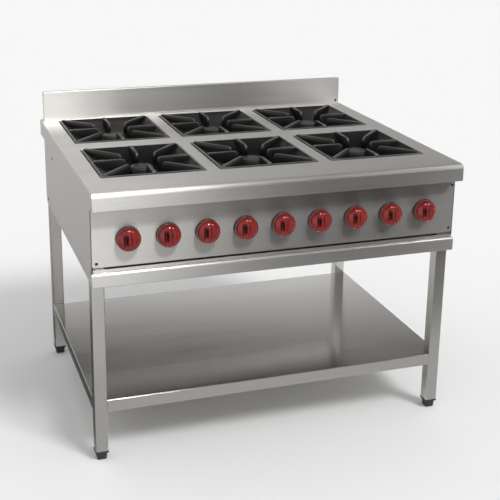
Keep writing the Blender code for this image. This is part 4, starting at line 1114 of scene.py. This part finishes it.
def make_mixer(place_name, column, row, knob):
    """The cast tube from its bell mouth behind the gas cock to the burner's seat."""
    node = "burner_mixer_" + place_name
    x, _, z = knob_centre(knob)
    corners = [(x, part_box(node)[0].y, z), (column, row, z)]
    if row > 0:
        corners.insert(1, (x, row - MIXER_TURN_BEFORE, z))
    path = soft_path(corners, MIXER_BEND)
    heading = (path[1] - path[0]).normalized()
    turn = heading.to_track_quat("Z", "Y").to_matrix()
    bell = joined_difference(turned(BELL, 32, path[0], turn), turned(THROAT, 24, path[0], turn))
    pipe = pipe_bmesh([path[0] + heading * MIXER_START] + path[1:], MIXER_RADIUS, sides=5)
    seat_low, seat_high = SUPPORT_TOP + GAP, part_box("burner_head_" + place_name)[0].z - GAP
    profile = [(radius, seat_high - depth) for radius, depth in SEAT_UPPER]
    profile += [(radius, seat_low + height) for radius, height in SEAT_LOWER]
    seat = turned(profile, steps=40, centre=(column, row, 0))
    whole = joined([seat, pipe, bell])
    finished("mixer_casting_" + place_name, whole, MIXER_IRON, HOUSE, (node,), smooth=34.0)


def joined_difference(solid, tool):
    """Cut one closed bmesh out of another."""
    first, second = loose_object("solid", solid), loose_object("tool", tool)
    cut = first.modifiers.new("cut", "BOOLEAN")
    cut.operation = "DIFFERENCE"
    cut.solver = "EXACT"
    cut.object = second
    keep_result(first)
    bm = bmesh.new()
    bm.from_mesh(first.data)
    for item in (first, second):
        bpy.data.objects.remove(item, do_unlink=True)
    return bm


def soft_path(corners, radius, steps=10):
    """A path whose inner corners are rounded."""
    corners = [Vector(corner) for corner in corners]
    path = [corners[0]]
    for before, corner, after in zip(corners, corners[1:], corners[2:]):
        inward, outward = (before - corner).normalized(), (after - corner).normalized()
        cut = radius / math.tan(inward.angle(outward) / 2)
        first, last = corner + inward * cut, corner + outward * cut
        for step in range(steps + 1):
            share = step / steps
            path.append(first.lerp(corner, share).lerp(corner.lerp(last, share), share))
    path.append(corners[-1])
    return path


def pipe_bmesh(points, radius, sides=6):
    """A closed round bar along a path."""
    curve = bpy.data.curves.new("bar", "CURVE")
    curve.dimensions = "3D"
    curve.bevel_depth = radius
    curve.bevel_resolution = sides
    curve.use_fill_caps = True
    spline = curve.splines.new("POLY")
    spline.points.add(len(points) - 1)
    for item, point in zip(spline.points, points):
        item.co = (*point, 1.0)
    holder = bpy.data.objects.new("bar_path", curve)
    bpy.context.scene.collection.objects.link(holder)
    bpy.context.view_layer.update()
    graph = bpy.context.evaluated_depsgraph_get()
    mesh = bpy.data.meshes.new_from_object(holder.evaluated_get(graph))
    bpy.data.objects.remove(holder, do_unlink=True)
    bm = bmesh.new()
    bm.from_mesh(mesh)
    bpy.data.meshes.remove(mesh)
    bmesh.ops.remove_doubles(bm, verts=bm.verts[:], dist=WELD)
    bmesh.ops.recalc_face_normals(bm, faces=bm.faces[:])
    return bm


def make_inlet():
    """The gas inlet pipe with its cut thread and open bore."""
    low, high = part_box("gas_inlet")
    manifold_low, manifold_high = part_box("gas_manifold")
    pipe_y = (manifold_low.y + manifold_high.y) / 2
    thread_start = high.y - PIPE_THREAD_LENGTH
    path = soft_path([(INLET_X, pipe_y, manifold_low.z - GAP), (INLET_X, pipe_y, INLET_HEIGHT),
                      (INLET_X, thread_start, INLET_HEIGHT)], INLET_BEND)
    bar = pipe_bmesh(path, INLET_RADIUS, sides=8)
    root = INLET_RADIUS - PIPE_THREAD_DEPTH
    profile = [(0.0, -PIPE_OVERLAP), (root, -PIPE_OVERLAP)]
    for turn in range(PIPE_THREADS):
        profile += [(root, turn * PIPE_PITCH), (INLET_RADIUS, (turn + 0.5) * PIPE_PITCH)]
    profile += [(INLET_RADIUS - inset, PIPE_THREAD_LENGTH - back) for inset, back in PIPE_END]
    profile += [(INLET_RADIUS - PIPE_END[-1][0], PIPE_BORE_END), (0.0, PIPE_BORE_END)]
    thread = turned(profile, steps=32, centre=(INLET_X, thread_start, INLET_HEIGHT), turn=INWARD)
    finished("gas_inlet_pipe", merged([bar, thread]), PIPE_STEEL, HOUSE, ("gas_inlet",), smooth=24.0)


# ---- knobs and screws ------------------------------------------------------

def knob_centre(index):
    """Where a knob's axis meets the panel."""
    low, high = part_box("knob_" + str(index + 1))
    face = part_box("control_panel")[0].y
    return (low.x + high.x) / 2, face, (low.z + high.z) / 2


def make_dome(crown, collar_top):
    """The dome with its two hollows, along Z, and a point attribute giving the painted shade in each hollow.
    """
    shoulder = collar_top + DOME_SHOULDER
    profile = []
    for step in range(DOME_STEPS + 1):
        angle = step / DOME_STEPS * math.pi / 2
        profile.append((DOME_RADIUS * math.sin(angle) ** DOME_BULGE,
                        shoulder + (crown - shoulder) * math.cos(angle) ** DOME_CROWN))
    profile += [(DOME_RADIUS - inset, collar_top + height) for inset, height in DOME_SKIRT]
    profile.append((0.0, collar_top + DOME_SKIRT[-1][1]))
    dome = turned(profile, steps=96)
    # Painted shade, deepest where a hollow is deepest, kept as a point attribute
    shade = dome.verts.layers.float.new("hollow")
    for vert in dome.verts:
        along = vert.co.y / HOLLOW_HALF_LENGTH
        if vert.co.z < collar_top + HOLLOW_FLOOR or abs(along) >= 1:
            continue
        for place_x, half_width, depth, darkness in HOLLOWS:
            across = (vert.co.x - place_x) / (half_width * (1 - HOLLOW_TAPER * max(0.0, -along)))
            if abs(across) < 1:
                share = (1 - across ** 2) ** HOLLOW_ROUND_ACROSS * (1 - along ** 2) ** HOLLOW_ROUND_ALONG
                vert.co.z -= depth * share
                vert[shade] = max(vert[shade], darkness * share)
    return dome


def make_knob(index):
    """A red dome with a grip bar between two finger hollows, on a black collar and a steel shaft."""
    number = str(index + 1)
    body = "knob_" + number
    low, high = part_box(body)
    centre = knob_centre(index)
    collar_top = KNOB_GAP + COLLAR_DEPTH
    dome = make_dome(centre[1] - low.y, collar_top)
    place(dome, centre, OUTWARD)
    finished("knob_dome_" + number, dome, KNOB_RED, body, (body,), smooth=70.0)
    profile = [(0.0, KNOB_GAP + COLLAR_RECESS)]
    profile += [(COLLAR_RADIUS - inset, KNOB_GAP + height) for inset, height in COLLAR_FOOT]
    profile += [(COLLAR_RADIUS - inset, collar_top + height) for inset, height in COLLAR_WALL]
    profile += [(DOME_RADIUS - inset, collar_top - depth) for inset, depth in COLLAR_SEAT]
    profile.append((0.0, collar_top - COLLAR_SEAT[-1][1]))
    collar = turned(profile, steps=64, centre=centre, turn=OUTWARD)
    finished("knob_collar_" + number, collar, COLLAR_BLACK, body, smooth=40.0)
    start, end = KNOB_GAP + SHAFT_START, centre[1] - high.y
    profile = [(0.0, start), (SHAFT_RADIUS, start), (SHAFT_RADIUS, end + SHAFT_CHAMFER),
               (SHAFT_RADIUS - SHAFT_CHAMFER, end), (0.0, end)]
    shaft = turned(profile, steps=24, centre=centre, turn=OUTWARD)
    finished("knob_shaft_" + number, shaft, SHAFT_STEEL, body)


def make_screw(name, point, turn, angle):
    """A pan-head screw with a cross recess, over a dark washer."""
    slots = []
    for quarter in (0.0, 90.0):
        slot = block(*SCREW_SLOT)
        place(slot, (0, 0, 0), Matrix.Rotation(math.radians(angle + quarter), 3, "Z"))
        slots.append(slot)
    head = joined_difference(turned(SCREW_HEAD, 24), joined(slots))
    place(head, point, turn)
    finished(name, head, SCREW_STEEL)
    finished(name + "_washer", turned(SCREW_WASHER, 24, point, turn), COLLAR_BLACK)


# ---- camera, light and floor -----------------------------------------------

def make_camera():
    """A short telephoto from the front left, a little above the worktop."""
    data = bpy.data.cameras.new("camera")
    data.lens = CAMERA_LENS
    data.sensor_width = CAMERA_SENSOR
    data.shift_y = CAMERA_SHIFT
    data.clip_end = CAMERA_REACH
    camera = bpy.data.objects.new("camera", data)
    yaw, pitch, roll = (math.radians(angle) for angle in CAMERA_TURNS)
    ahead = Vector((math.sin(yaw) * math.cos(pitch), math.cos(yaw) * math.cos(pitch), -math.sin(pitch)))
    level = Vector((math.cos(yaw), -math.sin(yaw), 0.0))
    upward = level.cross(ahead)
    right = level * math.cos(roll) + upward * math.sin(roll)
    above = upward * math.cos(roll) - level * math.sin(roll)
    turn = Matrix((right, above, -ahead)).transposed()
    camera.matrix_world = Matrix.Translation(CAMERA_PLACE) @ turn.to_4x4()
    bpy.context.scene.collection.objects.link(camera)
    bpy.context.scene.camera = camera


def staged(name, corners, material, glossy_only=True):
    """A flat card or floor that isn't part of the object."""
    bm = bmesh.new()
    bm.faces.new([bm.verts.new(corner) for corner in corners])
    mesh = bpy.data.meshes.new(name)
    bm.to_mesh(mesh)
    bm.free()
    mesh.materials.append(material)
    card = bpy.data.objects.new(name, mesh)
    bpy.context.scene.collection.objects.link(card)
    if glossy_only:
        card.visible_camera = False
        card.visible_diffuse = False
        card.visible_shadow = False
        card.visible_transmission = False


def lying(left, right, front, rear, height):
    """The corners of a level rectangle."""
    return [(left, front, height), (right, front, height), (right, rear, height), (left, rear, height)]


def standing(left, right, y, low, high):
    """The corners of an upright rectangle that faces the range."""
    return [(left, y, low), (right, y, low), (right, y, high), (left, y, high)]


def glow_card(name):
    """An unlit card, with its nodes at hand and its strength free."""
    material = bpy.data.materials.new(name)
    material.use_nodes = True
    nodes, links = material.node_tree.nodes, material.node_tree.links
    nodes.clear()
    shine = nodes.new("ShaderNodeEmission")
    output = nodes.new("ShaderNodeOutputMaterial")
    links.new(shine.outputs["Emission"], output.inputs["Surface"])
    axes = axes_of(nodes, links, nodes.new("ShaderNodeTexCoord").outputs["Object"])
    return material, nodes, links, shine, axes


def ramp(nodes, links, value, low, high, stops):
    """Grey levels along a value that runs from low to high."""
    share = spread(nodes, links, value, 0.0, 1.0, low, high)
    colours = nodes.new("ShaderNodeValToRGB")
    links.new(share, colours.inputs["Fac"])
    band = colours.color_ramp
    band.interpolation = "EASE"
    while len(band.elements) < len(stops):
        band.elements.new(0.5)
    for element, (at, level) in zip(band.elements, stops):
        element.position = (at - low) / (high - low)
        element.color = (level, level, level, 1.0)
    return colours.outputs["Color"]


def facing_place(nodes, links, axes):
    """The x on the range's front where a point of the surroundings is mirrored."""
    away = sum_of(nodes, links, "MAXIMUM", sum_of(nodes, links, "SUBTRACT", MIRRORED_EYE[1], axes["Y"]), 0.02)
    aside = sum_of(nodes, links, "SUBTRACT", axes["X"], MIRRORED_EYE[0])
    slope = sum_of(nodes, links, "DIVIDE", aside, away)
    across = sum_of(nodes, links, "MULTIPLY", slope, MIRRORED_EYE[1] - FRONT)
    return sum_of(nodes, links, "ADD", across, MIRRORED_EYE[0])


def front_levels(nodes, links, place):
    """Bright opposite the left end, dark opposite the right half, lighter again past the right end."""
    return ramp(nodes, links, place, -1.0, 1.0,
                [(-1.0, 0.92), (-0.52, 0.92), (-0.34, 0.50), (-0.16, 0.12), (0.10, 0.03),
                 (0.45, 0.015), (0.62, 0.10), (1.0, 0.22)])


def front_glow():
    """The floor before the range, as the steel sees it."""
    material, nodes, links, shine, axes = glow_card("front_reflection")
    place = facing_place(nodes, links, axes)
    middle = ramp(nodes, links, place, -1.0, 1.0,
                  [(-1.0, 0.62), (-0.52, 0.58), (-0.34, 0.32), (0.0, 0.08), (0.42, 0.05),
                   (0.56, 0.24), (1.0, 0.24)])
    far = spread(nodes, links, axes["Y"], 1.0, 0.0, -2.2, -1.6)
    close = spread(nodes, links, axes["Y"], 0.0, 1.0, -1.30, -0.95)
    level = mixed(nodes, links, far, middle, front_levels(nodes, links, place))
    links.new(mixed(nodes, links, close, level, 0.45), shine.inputs["Color"])
    return material


def wall_glow():
    """The far end of the studio before the range."""
    material, nodes, links, shine, axes = glow_card("wall_reflection")
    links.new(front_levels(nodes, links, facing_place(nodes, links, axes)), shine.inputs["Color"])
    return material


def splash_glow(name, shift, one_sided):
    """Bright at both ends and dark between, for the backsplash and the nose."""
    material, nodes, links, shine, axes = glow_card(name)
    stops = [(-1.2, 0.95), (-0.56 + shift, 0.95), (-0.44 + shift, 0.55), (-0.30 + shift, 0.10),
             (0.25 + shift, 0.04), (0.38 + shift, 0.10), (0.58 + shift, 0.90), (1.4, 0.90)]
    links.new(ramp(nodes, links, axes["X"], -1.2, 1.4, stops), shine.inputs["Color"])
    if one_sided:
        side = nodes.new("ShaderNodeNewGeometry")
        through = nodes.new("ShaderNodeBsdfTransparent")
        choose = nodes.new("ShaderNodeMixShader")
        links.new(side.outputs["Backfacing"], choose.inputs["Fac"])
        links.new(shine.outputs["Emission"], choose.inputs[1])
        links.new(through.outputs["BSDF"], choose.inputs[2])
        links.new(choose.outputs["Shader"], nodes["Material Output"].inputs["Surface"])
    return material


def plain_glow(name, level):
    """A card with one level for all of it."""
    material, _, _, shine, _ = glow_card(name)
    shine.inputs["Color"].default_value = (level, level, level, 1.0)
    return material


def left_glow():
    """The floor at the left, in the range's own shade close to it."""
    material, nodes, links, shine, axes = glow_card("left_reflection")
    level = ramp(nodes, links, axes["Y"], -0.5, 3.0,
                 [(-0.5, 0.06), (0.55, 0.07), (0.95, 0.32), (1.4, 0.40), (2.8, 0.44)])
    links.new(level, shine.inputs["Color"])
    return material


def make_world():
    """Even white light on everything, and a studio with dark and light zones for the reflections."""
    world = bpy.data.worlds.new("studio")
    bpy.context.scene.world = world
    world.use_nodes = True
    nodes, links = world.node_tree.nodes, world.node_tree.links
    background = nodes["Background"]
    background.inputs["Strength"].default_value = 1.0
    axes = axes_of(nodes, links, nodes.new("ShaderNodeTexCoord").outputs["Generated"])
    rear = ramp(nodes, links, axes["Z"], -1.0, 1.0,
                [(-1.0, 0.8), (0.30, 0.95), (0.375, 1.0), (0.390, 0.50), (0.405, 0.12), (0.425, 0.03),
                 (0.70, 0.05), (0.86, 0.30), (1.0, 0.35)])
    slope = sum_of(nodes, links, "DIVIDE", axes["X"], sum_of(nodes, links, "ABSOLUTE", axes["Y"]))
    across = spread(nodes, links, slope, -2.0, 2.0, -2.0 / MIRROR_REACH, 2.0 / MIRROR_REACH)
    opposite = sum_of(nodes, links, "ADD", across, MIRRORED_EYE[0])
    high = spread(nodes, links, axes["Z"], 0.0, 1.0, 0.45, 0.75)
    front = mixed(nodes, links, high, front_levels(nodes, links, opposite), 0.22)
    rear_right = spread(nodes, links, slope, 0.0, 0.6, 0.40, 0.62)
    rear = mixed(nodes, links, rear_right, rear, 0.10)
    facing = spread(nodes, links, axes["Y"], 1.0, 0.0, -0.15, 0.10)
    surroundings = mixed(nodes, links, facing, rear, front)
    ray = nodes.new("ShaderNodeLightPath").outputs
    plain = mixed(nodes, links, ray["Is Camera Ray"], 0.78, 0.90)
    links.new(mixed(nodes, links, ray["Is Glossy Ray"], plain, surroundings), background.inputs["Color"])


def make_sun(name, towards, strength, angle, for_gloss):
    """One broad light from far away, for the shine or for everything matt."""
    data = bpy.data.lights.new(name, "SUN")
    data.energy = strength
    data.angle = math.radians(angle)
    lamp = bpy.data.objects.new(name, data)
    lamp.rotation_euler = Vector(towards).to_track_quat("Z", "Y").to_euler()
    lamp.visible_diffuse = not for_gloss
    lamp.visible_glossy = for_gloss
    bpy.context.scene.collection.objects.link(lamp)


# ---- putting it together ---------------------------------------------------

make_worktop()
make_backsplash()
for side in (LEFT, RIGHT):
    make_side_panel(side)
make_control_panel()
make_front_rail()
for corner_name in CORNER_NAMES:
    make_leg(corner_name)
    make_foot(corner_name)
make_undershelf()
make_drip_tray()
make_back_panel()
make_grates()
for burner, (place_name, column, row) in enumerate(burner_places()):
    make_burner_head(place_name, column, row)
    group = burner % 3
    make_mixer(place_name, column, row, 3 * group + (0 if row < 0 else 2))
make_inlet()
for index in range(KNOB_COUNT):
    make_knob(index)

panel_low, panel_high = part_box("control_panel")
for label, x, z in (("lower_left", panel_low.x + 0.014, panel_low.z + 0.014),
                    ("lower_right", panel_high.x - 0.011, panel_low.z + 0.017),
                    ("upper_right", panel_high.x - 0.008, panel_high.z - 0.078)):
    make_screw("panel_screw_" + label, (x, panel_low.y, z), OUTWARD, 20.0)
splash_low, splash_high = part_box("backsplash")
splash_corner = (splash_high.x - 0.012, splash_low.y, splash_low.z + 0.015)
make_screw("backsplash_screw_right", splash_corner, OUTWARD, 55.0)
back_low, back_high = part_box("back_panel")
for label, side in (("left", LEFT), ("right", RIGHT)):
    low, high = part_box(label + "_side_panel")
    face = high.x if side > 0 else low.x
    turn = Matrix.Rotation(side * math.pi / 2, 3, "Y")
    for where, y, z in (("upper_rear", high.y - 0.160, high.z - 0.085),
                        ("lower_rear", high.y - 0.030, low.z + 0.020)):
        make_screw("side_screw_" + label + "_" + where, (face, y, z), turn, 35.0)
    back_x = (back_high.x if side > 0 else back_low.x) - side * 0.030
    for where, z in (("upper", back_high.z - 0.030), ("lower", back_low.z + 0.030)):
        make_screw("back_screw_" + label + "_" + where, (back_x, back_high.y, z), INWARD, 10.0)

KEPT_FINISHES = {
    "left_tray_runner": PLAIN_STEEL, "right_tray_runner": PLAIN_STEEL,
    "front_burner_support": PLAIN_STEEL, "rear_burner_support": PLAIN_STEEL,
    "gas_manifold": PIPE_STEEL,
}
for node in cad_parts:
    if node.startswith("gas_valve") or node.startswith("pilot_burner"):
        KEPT_FINISHES[node] = BRASS
for node, material in KEPT_FINISHES.items():
    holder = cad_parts[node]
    holder.data.materials.clear()
    holder.data.materials.append(material)

make_camera()
floor_material, nodes, links, shader = finish_material("floor_paper")
shader.inputs["Base Color"].default_value = (0.80, 0.80, 0.80, 1.0)
settings(shader, Roughness=0.9, Specular_IOR_Level=0.0)
staged("floor", lying(-FLOOR_HALF, FLOOR_HALF, -FLOOR_HALF, FLOOR_HALF, FLOOR_HEIGHT), floor_material,
       glossy_only=False)

make_world()
make_sun("key", (0.40, -0.70, 0.95), strength=1.60, angle=18.0, for_gloss=False)
make_sun("left_streak", (0.25, -1.0, 1.5), strength=1.5, angle=9.0, for_gloss=True)
make_sun("right_streak", (0.95, -1.0, 1.2), strength=0.35, angle=9.0, for_gloss=True)
bpy.context.scene.view_settings.view_transform = "Standard"
staged("floor_reflection", lying(-3.0, 6.0, STUDIO_END, -0.46, CARD_HEIGHT), front_glow())
staged("wall_reflection", standing(-8.0, 12.0, STUDIO_END, 0.0, 2.0), wall_glow())
staged("left_reflection", lying(-5.0, -0.62, -0.5, 7.0, CARD_HEIGHT), left_glow())
tray_low, tray_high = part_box("drip_tray")
shade_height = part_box("front_rail")[0].z + 0.002
staged("tray_shade", lying(tray_low.x, tray_high.x, tray_low.y + 0.03, tray_high.y, shade_height),
       plain_glow("tray_shade", 0.02))
staged("splash_flag", standing(-1.2, 1.4, -0.60, 0.93, 2.6),
       splash_glow("splash_flag", 0.20, one_sided=False))
staged("splash_shade", lying(-0.60, 0.60, -0.10, 0.477, FIN_TOP + 0.0015),
       splash_glow("splash_shade", 0.06, one_sided=True))
